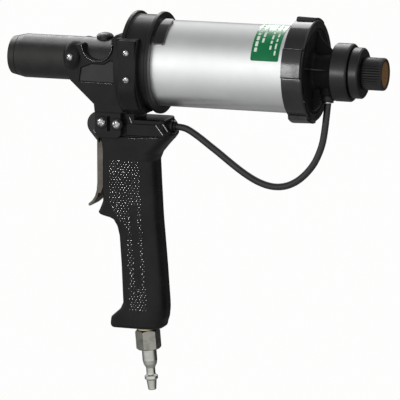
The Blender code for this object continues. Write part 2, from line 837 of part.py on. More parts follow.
def make_trigger():
    outer = [(-27.4, -40.5), (-27.4, -88.0), (-27.9, -92.0), (-29.2, -95.8), (-31.2, -99.0), (-33.8, -101.2)]
    inner = [(-32.6, -102.8), (-29.6, -100.4), (-27.4, -96.9), (-26.0, -92.8), (-25.3, -88.0), (-25.2, -40.5)]
    trigger = slab("trigger", outer + inner, -8.5, 8.5, LEVER_STEEL)
    flange = [(-25.6, -54.0), (-22.8, -57.0), (-22.8, -89.0), (-24.6, -93.5), (-26.2, -93.5), (-25.8, -88.0)]
    fuse(trigger, slab("trigger_flange_left", flange, -8.4, -6.9), slab("trigger_flange_right", flange, 6.9, 8.4))
    hub = [(-26.0, -40.8), *arc(PIVOT, 4.8, 100.0, -80.0, 9), (-26.0, -50.0)]
    fuse(trigger, slab("trigger_hub", hub, -6.0, 6.0))
    cut(trigger, rod("trigger_bore", -20.0, 20.0, 2.8, COARSE, "+Y", (PIVOT[0], 0.0, PIVOT[1])))
    place_on_pivot(trigger)


def place_on_pivot(obj):
    """Moves the object's origin to the trigger's pivot, leaving its shape where it is."""
    shift = Vector((PIVOT[0], 0.0, PIVOT[1])) * MM
    obj.data.transform(Matrix.Translation(-shift))
    obj.location = shift


def make_valve():
    at = (0.0, 0.0, VALVE_HEIGHT)
    sleeve = [(-14.2, 5.0), (8.0, 5.0), (8.0, 3.2), (-10.5, 3.2), (-10.5, 2.2), (-14.2, 2.2)]
    turned("valve_sleeve", sleeve, BRASS, MEDIUM, at=at)
    spool = [
        (-24.8, 0.0),
        (-24.8, 1.4),
        (-24.2, 1.9),
        (-6.0, 1.9),
        (-6.0, 2.9),
        (-4.2, 2.9),
        (-4.2, 2.1),
        (-2.2, 2.1),
        (-2.2, 2.9),
        (0.0, 2.9),
        (0.0, 0.0),
    ]
    turned("valve_spool", spool, STEEL, COARSE, at=at)
    turned("valve_seal", [(-4.0, 3.05), (-2.4, 3.05), (-2.4, 2.35), (-4.0, 2.35)], RUBBER, COARSE, at=at)
    wire("valve_spring", helix(0.75, 8.5, 2.2, 5, 8, VALVE_HEIGHT), 0.35, STEEL)


# The air inlet under the grip


def make_inlet():
    turned("inlet_washer", [(0.0, 7.6), (-0.9, 7.6), (-0.9, 6.2), (0.0, 6.2)], BRASS, MEDIUM, "Z", parent=INLET_AXIS)
    corner = HEX_FLATS / math.sqrt(3.0)
    adaptor = turned(
        "hex_adaptor",
        [(-1.2, 6.2), (-1.2, corner - 0.9), (-2.2, corner), (-14.4, corner), (-15.4, corner - 0.9), (-15.4, 2.6), (-1.2, 2.6)],
        STEEL,
        6,
        "Z",
        parent=INLET_AXIS,
    )
    adaptor.rotation_euler = (0.0, 0.0, math.radians(26.0))
    neck = turned("adaptor_neck", [(-2.0, 5.8), (10.4, 5.8), (10.4, 3.0), (-2.0, 3.0)], None, MEDIUM, "Z", parent=INLET_AXIS)
    fuse(adaptor, neck)
    turned("inlet_filter", [(11.3, 0.0), (11.3, 3.6), (19.0, 3.6), (19.0, 0.0)], BRONZE, COARSE, "Z", parent=INLET_AXIS)
    turned(
        "air_plug",
        [
            (-15.7, 5.2),
            (-23.6, 5.2),
            (-26.2, 4.6),
            (-28.8, 3.2),
            (-33.6, 3.2),
            (-34.6, 4.7),
            (-36.8, 4.7),
            (-37.6, 3.6),
            (-44.8, 2.9),
            (-44.8, 1.9),
            (-15.7, 1.9),
        ],
        STEEL,
        MEDIUM,
        "Z",
        parent=INLET_AXIS,
    )


# The hose and its two fittings


def make_hose():
    at_port = (0.0, 0.0, PORT_HEIGHT)
    turned("hose_fitting_front", [(20.0, 4.3), (25.8, 4.3), (26.4, 3.9), (26.4, 2.7), (20.0, 2.7)], BLACK_PLASTIC, MEDIUM, at=at_port)
    turned("hose_collet_front", [(26.7, 3.6), (PORT_FACE, 3.9), (PORT_FACE, 2.7), (26.7, 2.7)], BLACK_PLASTIC, MEDIUM, at=at_port)
    station = (REAR_FITTING_STATION, 0.0, 0.0)
    turned(
        "hose_fitting_rear",
        [(-7.0, 3.0), (-16.3, 3.0), (-16.3, 5.4), (-19.6, 5.4), (-20.2, 4.8), (-20.2, 1.8), (-7.0, 1.8)],
        BLACK_PLASTIC,
        MEDIUM,
        "Z",
        station,
    )
    turned("hose_collet_rear", [(-20.5, 3.9), (REAR_FITTING_FACE, 4.2), (REAR_FITTING_FACE, 2.7), (-20.5, 2.7)], STEEL, MEDIUM, "Z", station)
    route = [(x, 0.0, z) for x, z in HOSE_ROUTE]
    wire("air_hose", smooth_route(route, 2.6 * HOSE_RADIUS), HOSE_RADIUS, HOSE_BLACK, 2)


make_nose()
make_housings()
make_fasteners()
make_cylinder()
make_piston()
make_rear_plug()
make_lock_ring()
make_exhaust()
make_silencer()
make_grip()
make_trigger_cowl()
make_trigger()
make_valve()
make_inlet()
make_hose()
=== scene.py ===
"""Looks for a hand-held pneumatic capping tool.

Helpers take millimetres in the barrel's frame: X along the barrel, Z from its axis, -Y towards the camera.
They build meshes in metres in the part's frame.
"""

import json
import math
import random

import bmesh
import bpy
import numpy as np
from mathutils import Matrix, Vector


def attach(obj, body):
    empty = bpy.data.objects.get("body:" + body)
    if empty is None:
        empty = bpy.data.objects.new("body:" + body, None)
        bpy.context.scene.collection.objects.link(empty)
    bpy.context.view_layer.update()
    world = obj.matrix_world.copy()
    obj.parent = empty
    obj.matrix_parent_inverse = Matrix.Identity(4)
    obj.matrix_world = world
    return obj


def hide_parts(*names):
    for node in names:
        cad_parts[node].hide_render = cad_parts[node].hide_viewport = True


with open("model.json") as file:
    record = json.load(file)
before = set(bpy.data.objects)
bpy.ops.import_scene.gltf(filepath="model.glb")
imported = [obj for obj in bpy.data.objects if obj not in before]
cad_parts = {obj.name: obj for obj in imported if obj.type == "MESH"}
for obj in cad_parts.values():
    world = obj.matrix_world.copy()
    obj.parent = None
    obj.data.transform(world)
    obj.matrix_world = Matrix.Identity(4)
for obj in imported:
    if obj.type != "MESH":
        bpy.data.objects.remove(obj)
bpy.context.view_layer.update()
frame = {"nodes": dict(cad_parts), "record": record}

MM = 0.001
BARREL_HEIGHT = 105.0
SIDES = ((-1, "left"), (1, "right"))
PALE = (0.985, 0.985, 0.98, 1.0)
LUG_HALF_ANGLE = 16.5
LUG_PHASE = 15.5


# Materials


def node(tree, kind, **values):
    made = tree.nodes.new(kind)
    for name, value in values.items():
        setattr(made, name, value)
    return made


def noise(tree, scale, detail=3.0, roughness=0.5, stretch=None):
    coords = node(tree, "ShaderNodeTexCoord")
    made = node(tree, "ShaderNodeTexNoise")
    made.inputs["Scale"].default_value = scale
    made.inputs["Detail"].default_value = detail
    made.inputs["Roughness"].default_value = roughness
    source = coords.outputs["Object"]
    if stretch:
        mapping = node(tree, "ShaderNodeMapping")
        mapping.inputs["Scale"].default_value = stretch
        tree.links.new(source, mapping.inputs["Vector"])
        source = mapping.outputs["Vector"]
    tree.links.new(source, made.inputs["Vector"])
    return made.outputs["Fac"]


def ramp(tree, factor, low, high, start=0.35, end=0.65):
    made = node(tree, "ShaderNodeValToRGB")
    made.color_ramp.elements[0].position = start
    made.color_ramp.elements[1].position = end
    made.color_ramp.elements[0].color = low
    made.color_ramp.elements[1].color = high
    tree.links.new(factor, made.inputs["Fac"])
    return made.outputs["Color"]


def spread(tree, factor, low, high):
    made = node(tree, "ShaderNodeMapRange")
    made.inputs["From Min"].default_value = 0.3
    made.inputs["From Max"].default_value = 0.7
    made.inputs["To Min"].default_value = low
    made.inputs["To Max"].default_value = high
    tree.links.new(factor, made.inputs["Value"])
    return made.outputs["Result"]


def surface(
    name, colours, roughness, metallic=0.0, mottle=60.0, smudge=140.0, grain=2500.0, bump=0.05,
    depth=0.00002, stretch=None, specular=0.5,
):
    """A surface whose colour, roughness and fine relief all vary. Scales are cycles per metre."""
    material = bpy.data.materials.new(name)
    material.use_nodes = True
    tree = material.node_tree
    shader = tree.nodes["Principled BSDF"]
    shader.inputs["Metallic"].default_value = metallic
    shader.inputs["Specular IOR Level"].default_value = specular
    low, high = ((*c, 1.0) for c in colours)
    tree.links.new(ramp(tree, noise(tree, mottle, 4.0, 0.6), low, high), shader.inputs["Base Color"])
    tree.links.new(spread(tree, noise(tree, smudge, 5.0, 0.6), *roughness), shader.inputs["Roughness"])
    relief = node(tree, "ShaderNodeBump")
    relief.inputs["Strength"].default_value = bump
    relief.inputs["Distance"].default_value = depth
    tree.links.new(noise(tree, grain, 2.0, 0.5, stretch), relief.inputs["Height"])
    tree.links.new(relief.outputs["Normal"], shader.inputs["Normal"])
    return material


def moulded(name, grain, bump, roughness, base=(0.0045, 0.0045, 0.005), light=(0.009, 0.009, 0.0095), **more):
    return surface(name, (base, light), roughness, grain=grain, bump=bump, **more)


M = {
    "housing": moulded("moulded_black", 1800.0, 0.10, (0.30, 0.42), depth=0.00006, specular=0.20),
    "grip": moulded("grip_black", 1500.0, 0.06, (0.20, 0.30), depth=0.00004, specular=0.17),
    "pebble": moulded("grip_pebbles", 2200.0, 0.05, (0.09, 0.15), specular=0.14),
    "gloss": moulded("polished_black", 900.0, 0.03, (0.10, 0.18), specular=0.4),
    "satin": moulded("satin_black", 2600.0, 0.10, (0.28, 0.40), depth=0.00003, specular=0.3),
    "anodised": surface(
        "black_anodised", ((0.008, 0.008, 0.008), (0.016, 0.016, 0.015)), (0.30, 0.42), metallic=0.35,
        grain=2200.0, bump=0.10, depth=0.00003, stretch=(0.06, 1.0, 1.0),
    ),
    "aluminium": surface(
        "satin_aluminium", ((0.74, 0.75, 0.76), (0.80, 0.81, 0.82)), (0.30, 0.38), metallic=1.0,
        mottle=25.0, grain=2600.0, bump=0.10, stretch=(0.05, 1.0, 1.0),
    ),
    "plug": moulded("plug_black", 1800.0, 0.10, (0.45, 0.60), depth=0.00006, specular=0.10),
    # Light grey: a painted highlight, for the strips that stand for highlight lines along edges.
    "line": moulded("painted_edge_highlight", 1600.0, 0.05, (0.18, 0.28), (0.10, 0.10, 0.10), (0.16, 0.16, 0.16)),
    "panel": moulded("panel_black", 1900.0, 0.12, (0.40, 0.52), depth=0.00006, specular=0.50),
    "screw": surface(
        "worn_screw", ((0.07, 0.07, 0.067), (0.55, 0.56, 0.55)), (0.20, 0.36), metallic=1.0, mottle=900.0,
        grain=1800.0, bump=0.2, depth=0.00005,
    ),
    "zinc": surface(
        "zinc_plate", ((0.19, 0.19, 0.17), (0.30, 0.30, 0.275)), (0.24, 0.40), metallic=1.0, mottle=180.0,
        grain=2000.0, bump=0.15, depth=0.00004,
    ),
    "nickel": surface(
        "bright_nickel", ((0.40, 0.40, 0.375), (0.54, 0.54, 0.515)), (0.12, 0.24), metallic=1.0,
        mottle=160.0, grain=1800.0, bump=0.08,
    ),
    "brassy": surface(
        "worn_brass", ((0.46, 0.37, 0.20), (0.64, 0.58, 0.42)), (0.18, 0.34), metallic=1.0, mottle=260.0,
        grain=1800.0, bump=0.10, depth=0.00003,
    ),
    "lever": surface(
        "lever_nickel", ((0.09, 0.082, 0.07), (0.14, 0.13, 0.115)), (0.26, 0.40), metallic=1.0,
        mottle=120.0, grain=1600.0, bump=0.12, depth=0.00004, stretch=(1.0, 1.0, 0.08),
    ),
    "bronze": surface(
        "sintered_bronze", ((0.10, 0.045, 0.012), (0.26, 0.13, 0.045)), (0.55, 0.80), metallic=0.5,
        mottle=1600.0, grain=1500.0, bump=0.9, depth=0.00025,
    ),
    "rubber": surface(
        "black_rubber", ((0.010, 0.010, 0.010), (0.022, 0.022, 0.021)), (0.55, 0.75), grain=1700.0,
        bump=0.3, depth=0.00006,
    ),
    "hose": surface(
        "hose_black", ((0.004, 0.004, 0.004), (0.009, 0.009, 0.009)), (0.24, 0.38), grain=900.0,
        depth=0.00003,
    ),
    "label": surface(
        "label_green", ((0.0, 0.140, 0.045), (0.0, 0.175, 0.060)), (0.30, 0.42), mottle=90.0, grain=1400.0,
        specular=0.25,
    ),
    "ink": surface(
        "label_ink", ((0.62, 0.70, 0.62), (0.76, 0.82, 0.76)), (0.35, 0.5), mottle=300.0, grain=1400.0,
       
    ),
}

SLOT_LOOK = {
    "black_plastic": "satin", "gloss_plastic": "gloss", "black_anodised": "anodised",
    "satin_aluminium": "aluminium", "plated_steel": "nickel", "lever_steel": "lever",
    "plated_brass": "brassy", "sintered_bronze": "bronze", "rubber": "rubber", "hose_black": "hose",
    "label_green": "label",
}


# Mesh helpers


def at(x, y, z):
    return Vector((x, y, z + BARREL_HEIGHT)) * MM


def new_object(name, mesh, look=None):
    obj = bpy.data.objects.new(name, mesh)
    bpy.context.scene.collection.objects.link(obj)
    if look:
        mesh.materials.append(M[look])
    return obj


def from_bmesh(name, bm, look=None):
    bmesh.ops.recalc_face_normals(bm, faces=bm.faces)
    mesh = bpy.data.meshes.new(name)
    bm.to_mesh(mesh)
    bm.free()
    return new_object(name, mesh, look)


def about_axis(turn):
    """The turn made about the barrel's axis."""
    centre = at(0.0, 0.0, 0.0)
    return Matrix.Translation(centre) @ turn @ Matrix.Translation(-centre)


def bridge(bm, one, two):
    """Joins two loops of as many vertices by a band of faces."""
    pairs = [(k, (k + 1) % len(one)) for k in range(len(one))]
    return [bm.faces.new((one[k], one[n], two[n], two[k])) for k, n in pairs]


def shade(obj, angle=40.0, weighted=True):
    obj.data.shade_smooth()
    obj.data.set_sharp_from_angle(angle=math.radians(angle))
    if weighted:
        normals = obj.modifiers.new("normals", "WEIGHTED_NORMAL")
        normals.keep_sharp = True
        normals.weight = 80
    return obj


def round_corners(points, closed=True, steps=4):
    """Points are (u, v) or (u, v, radius): a corner with a radius becomes an arc."""
    done = []
    count = len(points)
    for k, point in enumerate(points):
        u, v = point[:2]
        radius = point[2] if len(point) > 2 else 0.0
        if radius <= 0 or (not closed and k in (0, count - 1)):
            done.append((u, v))
            continue
        here = Vector((u, v))
        before = Vector(points[k - 1][:2]) - here
        after = Vector(points[(k + 1) % count][:2]) - here
        angle = before.angle(after)
        reach = min(radius / math.tan(angle / 2), before.length * 0.49, after.length * 0.49)
        start = here + before.normalized() * reach
        end = here + after.normalized() * reach
        for n in range(steps + 1):
            t = n / steps
            spot = start * (1 - t) ** 2 + here * 2 * t * (1 - t) + end * t * t
            done.append((spot.x, spot.y))
    return done


AXES = {
    "X": Matrix(((0, 0, 1), (1, 0, 0), (0, 1, 0))),
    "Z": Matrix(((1, 0, 0), (0, 1, 0), (0, 0, 1))),
    "-Y": Matrix(((1, 0, 0), (0, 0, -1), (0, 1, 0))),
    "+Y": Matrix(((1, 0, 0), (0, 0, 1), (0, -1, 0))),
}


def lathe(name, profile, look, axis="X", place=(0.0, 0.0, 0.0), steps=96, closed=True, turn=None, rounding=4):
    """A turned piece. Profile points are (station, radius[, rounding]).

    An open profile starts and ends on the axis.
    """
    outline = round_corners(profile, closed, rounding)
    frame3 = turn if turn is not None else AXES[axis]
    bm = bmesh.new()
    rings = []
    for station, radius in outline:
        if radius < 1e-6:
            rings.append([bm.verts.new((at(*place) + (frame3 @ Vector((0, 0, station))) * MM))])
            continue
        ring = []
        for k in range(steps):
            a = math.tau * k / steps
            local = Vector((radius * math.cos(a), radius * math.sin(a), station))
            ring.append(bm.verts.new(at(*place) + (frame3 @ local) * MM))
        rings.append(ring)
    pairs = list(zip(rings, rings[1:]))
    if closed:
        pairs.append((rings[-1], rings[0]))
    for one, two in pairs:
        for k in range(steps):
            n = (k + 1) % steps
            if len(one) == 1 and len(two) == 1:
                break
            if len(one) == 1:
                bm.faces.new((one[0], two[n], two[k]))
            elif len(two) == 1:
                bm.faces.new((one[k], one[n], two[0]))
            else:
                bm.faces.new((one[k], one[n], two[n], two[k]))
    return shade(from_bmesh(name, bm, look))


def plate(name, outline, low, high, look=None, bevel=0.0, segments=3, rounding=4):
    """An outline in XZ with Y from low to high and, if asked, rounded edges."""
    points = round_corners(outline, True, rounding)
    bm = bmesh.new()
    face = bm.faces.new([bm.verts.new(at(x, low, z)) for x, z in points])
    moved = bmesh.ops.extrude_face_region(bm, geom=[face])
    for vert in moved["geom"]:
        if isinstance(vert, bmesh.types.BMVert):
            vert.co.y += (high - low) * MM
    bmesh.ops.recalc_face_normals(bm, faces=bm.faces)
    if bevel:
        rims = [e for e in bm.edges if abs(e.verts[0].co.y - e.verts[1].co.y) < 1e-9]
        bmesh.ops.bevel(
            bm, geom=rims, offset=bevel * MM, segments=segments, profile=0.5, affect="EDGES",
            clamp_overlap=True,
        )
    return from_bmesh(name, bm, look)


def pin(name, start, end, radius, axis, place, steps=48):
    return lathe(
        name, [(start, 0.0), (start, radius), (end, radius), (end, 0.0)], None, axis, place, steps,
        closed=False,
    )


def bake(obj):
    """Applies the object's modifiers to its mesh."""
    graph = bpy.context.evaluated_depsgraph_get()
    mesh = bpy.data.meshes.new_from_object(obj.evaluated_get(graph))
    obj.modifiers.clear()
    obj.data = mesh
    return obj


def combine(base, add=(), cut=()):
    """Joins and cuts closed solids."""
    helpers = list(add) + list(cut)
    for helper in helpers:
        helper.modifiers.clear()
    base.modifiers.clear()
    for kind, group in (("UNION", add), ("DIFFERENCE", cut)):
        for helper in group:
            step = base.modifiers.new(kind.lower(), "BOOLEAN")
            step.operation = kind
            step.object = helper
            step.solver = "EXACT"
    bake(base)
    for helper in helpers:
        bpy.data.objects.remove(helper)
    return shade(base)


def arc(centre, radius, first, last, count):
    angles = [math.radians(first + (last - first) * k / (count - 1)) for k in range(count)]
    return [(centre[0] + radius * math.cos(a), centre[1] + radius * math.sin(a)) for a in angles]


def smaller(a, b, blend=0.0):
    """The lesser of two distances, melted together over the blend."""
    if not blend:
        return np.minimum(a, b)
    share = np.maximum(blend - np.abs(a - b), 0.0) / blend
    return np.minimum(a, b) - share * share * blend / 4


def larger(a, b, blend=0.0):
    return -smaller(-a, -b, blend)


def outline_gap(u, v, points):
    """Signed distance to a flat outline, negative inside."""
    nearest = None
    inside = False
    for (u0, v0), (u1, v1) in zip(points, points[1:] + points[:1]):
        du, dv = u1 - u0, v1 - v0
        along = np.clip(((u - u0) * du + (v - v0) * dv) / (du * du + dv * dv + 1e-12), 0.0, 1.0)
        gap = (u - u0 - along * du) ** 2 + (v - v0 - along * dv) ** 2
        nearest = gap if nearest is None else np.minimum(nearest, gap)
        if dv != 0:
            crossing = ((v0 > v) != (v1 > v)) & (u < u0 + (v - v0) * du / dv)
            inside = inside ^ crossing
    return np.where(inside, -1.0, 1.0) * np.sqrt(nearest)


def thick(flat, w, low, high, edge=0.0):
    """A flat distance given thickness along w, its rims rounded by edge."""
    side = np.abs(w - (low + high) / 2) - (high - low) / 2 + edge
    flat = flat + edge
    return np.minimum(np.maximum(flat, side), 0.0) + np.hypot(
        np.maximum(flat, 0.0), np.maximum(side, 0.0),
    ) - edge


def box_gap(x, y, z, low, high, edge=0.0):
    qx = np.abs(x - (low[0] + high[0]) / 2) - (high[0] - low[0]) / 2 + edge
    qy = np.abs(y - (low[1] + high[1]) / 2) - (high[1] - low[1]) / 2 + edge
    qz = np.abs(z - (low[2] + high[2]) / 2) - (high[2] - low[2]) / 2 + edge
    outside = np.sqrt(np.maximum(qx, 0.0) ** 2 + np.maximum(qy, 0.0) ** 2 + np.maximum(qz, 0.0) ** 2)
    return outside + np.minimum(np.maximum(qx, np.maximum(qy, qz)), 0.0) - edge


def ball_gap(x, y, z, centre, radii):
    p = [(c - m) / r for c, m, r in zip((x, y, z), centre, radii)]
    size = np.sqrt(sum(c * c for c in p)) + 1e-9
    slope = np.sqrt(sum((c / r) ** 2 for c, r in zip(p, radii))) + 1e-9
    return size * (size - 1.0) / slope


def skin(name, low, high, step, field, look, mirror=False):
    """Meshes the surface where a distance field is zero, with one vertex in each cell it passes through."""
    axes = [np.arange(a - 2 * step, b + 3 * step, step) for a, b in zip(low, high)]
    shape = [len(a) for a in axes]
    values = np.array(
        np.broadcast_to(field(axes[0][:, None, None], axes[1][None, :, None], axes[2][None, None, :]), shape)
    )
    inside = values < 0
    cells = [n - 1 for n in shape]
    total = np.zeros((*cells, 3))
    count = np.zeros(cells)
    crossings = []
    for axis in range(3):
        first = [slice(None)] * 3
        second = [slice(None)] * 3
        first[axis], second[axis] = slice(0, -1), slice(1, None)
        a, b = values[tuple(first)], values[tuple(second)]
        hits = np.argwhere(inside[tuple(first)] != inside[tuple(second)])
        va, vb = a[tuple(hits.T)], b[tuple(hits.T)]
        place = np.stack([axes[k][hits[:, k]] for k in range(3)], 1)
        place[:, axis] += step * va / (va - vb)
        others = [k for k in range(3) if k != axis]
        ok = np.all([(hits[:, k] > 0) & (hits[:, k] < cells[k]) for k in others], 0)
        hits, place, va = hits[ok], place[ok], va[ok]
        corners = []
        for du, dv in ((0, 0), (1, 0), (1, 1), (0, 1)):
            cell = hits.copy()
            cell[:, others[0]] -= du
            cell[:, others[1]] -= dv
            corners.append(np.ravel_multi_index(cell.T, cells))
        crossings.append((np.stack(corners, 1), va < 0, axis))
        for corner in corners:
            np.add.at(total.reshape(-1, 3), corner, place)
            np.add.at(count.reshape(-1), corner, 1.0)
    used = np.flatnonzero(count.reshape(-1))
    number = np.full(count.size, -1)
    number[used] = np.arange(len(used))
    points = total.reshape(-1, 3)[used] / count.reshape(-1)[used, None]
    quads = []
    for corners, outward, axis in crossings:
        quad = number[corners]
        flip = outward if axis != 1 else ~outward
        quad[~flip] = quad[~flip][:, ::-1]
        quads.append(quad)
    quads = np.concatenate(quads)
    tiny = 0.02

    def gradient(p):
        slopes = []
        for k in range(3):
            ahead, behind = p.copy(), p.copy()
            ahead[:, k] += tiny
            behind[:, k] -= tiny
            slopes.append((field(*ahead.T) - field(*behind.T)) / (2 * tiny))
        slopes = np.stack(slopes, 1)
        return slopes / np.maximum(np.linalg.norm(slopes, axis=1, keepdims=True), 1e-6)

    normals = gradient(points)
    moves = np.clip(field(*points.T), -0.4 * step, 0.4 * step)
    points = points - normals * moves[:, None]
    normals = gradient(points)
    if mirror:
        points[:, 1] *= -1
        normals[:, 1] *= -1
        quads = quads[:, ::-1]
    points[:, 2] += BARREL_HEIGHT
    mesh = bpy.data.meshes.new(name)
    mesh.from_pydata((points * MM).tolist(), [], quads.tolist())
    mesh.update()
    mesh.shade_smooth()
    mesh.normals_split_custom_set_from_vertices(normals.tolist())
    return new_object(name, mesh, look)


SLOT_OF = {subpart["node"]: subpart["material_slot"] for subpart in frame["record"]["subparts"]}
BODY_OF = {name: body for body, names in frame["record"]["behaviour"]["bodies"].items() for name in names}


def extra(obj, body="tool_body"):
    """A piece that rides on a body and stands for no CAD node."""
    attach(obj, body)


def piece(obj, node_name):
    """A piece that takes a CAD node's place and rides on its body; the node is hidden."""
    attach(obj, BODY_OF[node_name])
    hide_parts(node_name)


# Camera and hose first

LENS = 337.18
AIM = Vector((0.04901, -0.00823, 0.01128))
AZIMUTH, ELEVATION, DISTANCE = math.radians(19.6), math.radians(10.8), 2.6
camera_data = bpy.data.cameras.new("camera")
camera_data.lens = LENS
camera_data.sensor_width = 36.0
camera_data.clip_end = 50.0
camera = new_object("camera", camera_data)
back = Vector(
    (
        math.sin(AZIMUTH) * math.cos(ELEVATION), -math.cos(AZIMUTH) * math.cos(ELEVATION),
        math.sin(ELEVATION),
    )
)
camera.location = AIM + back * DISTANCE
camera.rotation_euler = (-back).to_track_quat("-Z", "Y").to_euler()
bpy.context.scene.camera = camera

HOSE_RADIUS = 2.4
HOSE_ROUTE = (
    (28.8, -44.6), (33.5, -45.0), (38.0, -46.5), (45.3, -50.9), (52.5, -56.0), (59.6, -61.0), (66.6, -66.2),
    (73.6, -71.2), (80.6, -75.7), (87.7, -79.4), (95.2, -81.9), (102.6, -82.6), (109.8, -81.3),
    (116.9, -77.8), (123.6, -72.0), (129.1, -65.0), (132.8, -57.5), (135.4, -49.6), (137.0, -40.0),
    (138.1, -30.5), (139.0, -21.9),
)


def dense_route(points, per_span):
    ends = [points[0], *points, points[-1]]
    dense = []
    for p0, p1, p2, p3 in zip(ends, ends[1:], ends[2:], ends[3:]):
        for k in range(per_span):
            t = k / per_span
            dense.append(
                tuple(
                    0.5 * (2 * b + (c - a) * t + (
                        2 * a - 5 * b + 4 * c - d
                    ) * t * t + (3 * b - a - 3 * c + d) * t**3)
                    for a, b, c, d in zip(p0, p1, p2, p3)
                )
            )
    dense.append(points[-1])
    return dense


hose_points = dense_route(HOSE_ROUTE, 4)
hose_curve = bpy.data.curves.new("air_hose_fine", "CURVE")
hose_curve.dimensions = "3D"
hose_curve.bevel_depth = HOSE_RADIUS * MM
hose_curve.bevel_resolution = 6
hose_curve.use_fill_caps = True
hose_spline = hose_curve.splines.new("POLY")
hose_spline.points.add(len(hose_points) - 1)
for point, (x, z) in zip(hose_spline.points, hose_points):
    point.co = (*at(x, 0.0, z), 1.0)
hose_curve.materials.append(M["hose"])
hose = new_object("air_hose_fine", hose_curve)
piece(hose, "air_hose")

for name, obj in frame["nodes"].items():
    obj.data.materials.clear()
    obj.data.materials.append(M[SLOT_LOOK[SLOT_OF[name]]])
    obj.data.shade_smooth()
    obj.data.set_sharp_from_angle(angle=math.radians(30))


# Nose

nose = lathe(
    "nose_barrel",
    [
        (-90.0, 13.2), (-87.3, 13.2), (-87.3, 14.4, 0.2), (-83.0, 15.4, 3.0), (3.7, 15.4, 0.3),
        (3.7, 12.0, 0.3), (-90.0, 12.0),
    ],
    "anodised",
    steps=128,
)
piece(nose, "nose_tube")
mouth = lathe(
    "nose_mouth_ring",
    [
        (-93.0, 12.4, 0.4), (-92.4, 13.3, 0.8), (-87.6, 14.35, 0.2), (-87.6, 13.5), (-90.3, 13.5),
        (-90.3, 11.4, 0.3), (-93.0, 11.4, 0.5),
    ],
    "anodised",
    steps=128,
)
piece(mouth, "nose_ring")
stud = lathe(
    "top_stud_fine",
    [(12.5, 0.0), (12.5, 6.0), (16.8, 6.0, 0.8), (18.3, 4.6, 1.4), (19.1, 2.0, 1.0), (19.1, 0.0)], None,
    "Z", (-24.0, 0.0, 0.0), 64, closed=False,
)
stud.data.materials.append(M["anodised"])
combine(stud, cut=[pin("stud_seat", -36.0, -12.0, 15.55, "X", (0.0, 0.0, 0.0), 96)])
piece(stud, "top_stud")


# Housing halves


CHEEK = [
    (-47.5, -3.0), (-43.5, -12.8), (-25.9, -28.8), (-25.2, -34.2), (-2.0, -34.2), (-2.0, 20.2), (-9.5, 20.2),
    (-12.6, 17.2), *arc((-22.9, 12.5), 10.3, 0.0, -180.0, 25), (-34.5, 13.0), (-41.0, 11.0), (-47.5, 4.0),
]
LEG = [(-25.2, -30.0), (-25.2, -49.8), (-22.4, -52.4), (-8.6, -52.4), (-6.0, -49.8), (-6.0, -30.0)]
PANEL = [
    (-34.8, -3.8), (-36.4, -13.2), (-11.3, -13.4), (-9.9, 0.6), (-13.5, 1.9), (-18.0, -0.9), (-27.5, -0.9),
]
PIVOT = (-20.1, -41.2)
NECK_BOLT = (-9.0, -42.1)
SADDLE_SCREWS = ((6.0, 11.4), (6.0, -7.2))
BOSS = (-41.5, 4.0)
HOSE_END = (139.0, 0.0, 0.0)


def housing_gap(x, y, z):
    """The half on the +Y side."""
    reach = np.hypot(y, z)
    cheek = thick(outline_gap(x, z, CHEEK) + 0.0 * y, y, 0.15, 18.6, 0.7)
    boss = ball_gap(x, y, z, (-41.5, 12.5, 3.6), (8.2, 10.3, 10.4))
    solid = smaller(cheek, boss, 1.2)
    saddle = thick(reach - 38.2, x, -4.0, 12.4, 0.5)
    saddle = larger(saddle, -33.9 - z)
    saddle = larger(saddle, z - 20.2, 0.6)
    solid = smaller(solid, saddle, 1.6)
    pad = box_gap(
        x, y + np.maximum(-12.0 - z, 0.0) ** 2 * 0.03, z, (-0.4, 28.0, -30.0), (11.9, 38.8, 19.6), 1.0,
    )
    solid = smaller(solid, pad, 2.0)
    rim = np.abs(np.hypot(x + 22.9, z - 12.5) - 11.2) - 1.0 + 0.4
    rim = larger(thick(rim, y, 12.0, 19.6, 0.4), z - 13.6, 0.8)
    solid = smaller(solid, rim, 0.4)
    leg = thick(outline_gap(x, z, LEG) + 0.0 * y, y, 13.8, 18.2, 0.6)
    leg = larger(
        leg, -thick(np.abs(x + 14.9) - 1.1, z, -47.2, -37.0, 0.3) + 0.0 * y - np.maximum(16.8 - y, 0.0),
        0.3,
    )
    for px, pz in (PIVOT, NECK_BOLT):
        round_gap = np.hypot(x - px, z - pz)
        leg = smaller(leg, thick(round_gap - 4.4, y, 16.0, 18.9, 0.3), 0.3)
    solid = smaller(solid, leg, 0.8)
    panel = thick(outline_gap(x, z, PANEL) - 0.4 + 0.0 * y, y, 17.5, 24.0, 0.5)
    solid = larger(solid, -panel, 0.4)
    solid = larger(solid, -thick(reach - 15.7, x, -60.0, -1.0), 0.4)
    solid = larger(solid, -thick(reach - 35.8, x, -1.6, 1.8))
    solid = larger(solid, -thick(reach - 33.5, x, 1.0, 25.0))
    for px, pz, radius in (
        (*PIVOT, 2.7), (*NECK_BOLT, 2.7), (*BOSS, 1.9), *((*c, 1.9) for c in SADDLE_SCREWS),
    ):
        solid = larger(solid, radius - np.hypot(x - px, z - pz))
    return larger(solid, 0.15 - y)


def housing(name, mirror):
    return skin(name, (-50.0, 0.0, -53.0), (13.0, 39.5, 21.0), 0.4, housing_gap, "housing", mirror)


def highlight_strip(name, points, radius, look="gloss"):
    """A thin strip along its points that stands for a highlight line on an edge; the tool has no such piece.
    In the light grey line look its highlight is painted; in gloss it catches the linked lights.
    """
    curve = bpy.data.curves.new(name, "CURVE")
    curve.dimensions = "3D"
    curve.bevel_depth = radius * MM
    curve.bevel_resolution = 3
    curve.use_fill_caps = True
    line = curve.splines.new("POLY")
    line.points.add(len(points) - 1)
    for knot, spot in zip(line.points, points):
        knot.co = (*at(*spot), 1.0)
    curve.materials.append(M[look])
    return new_object(name, curve)


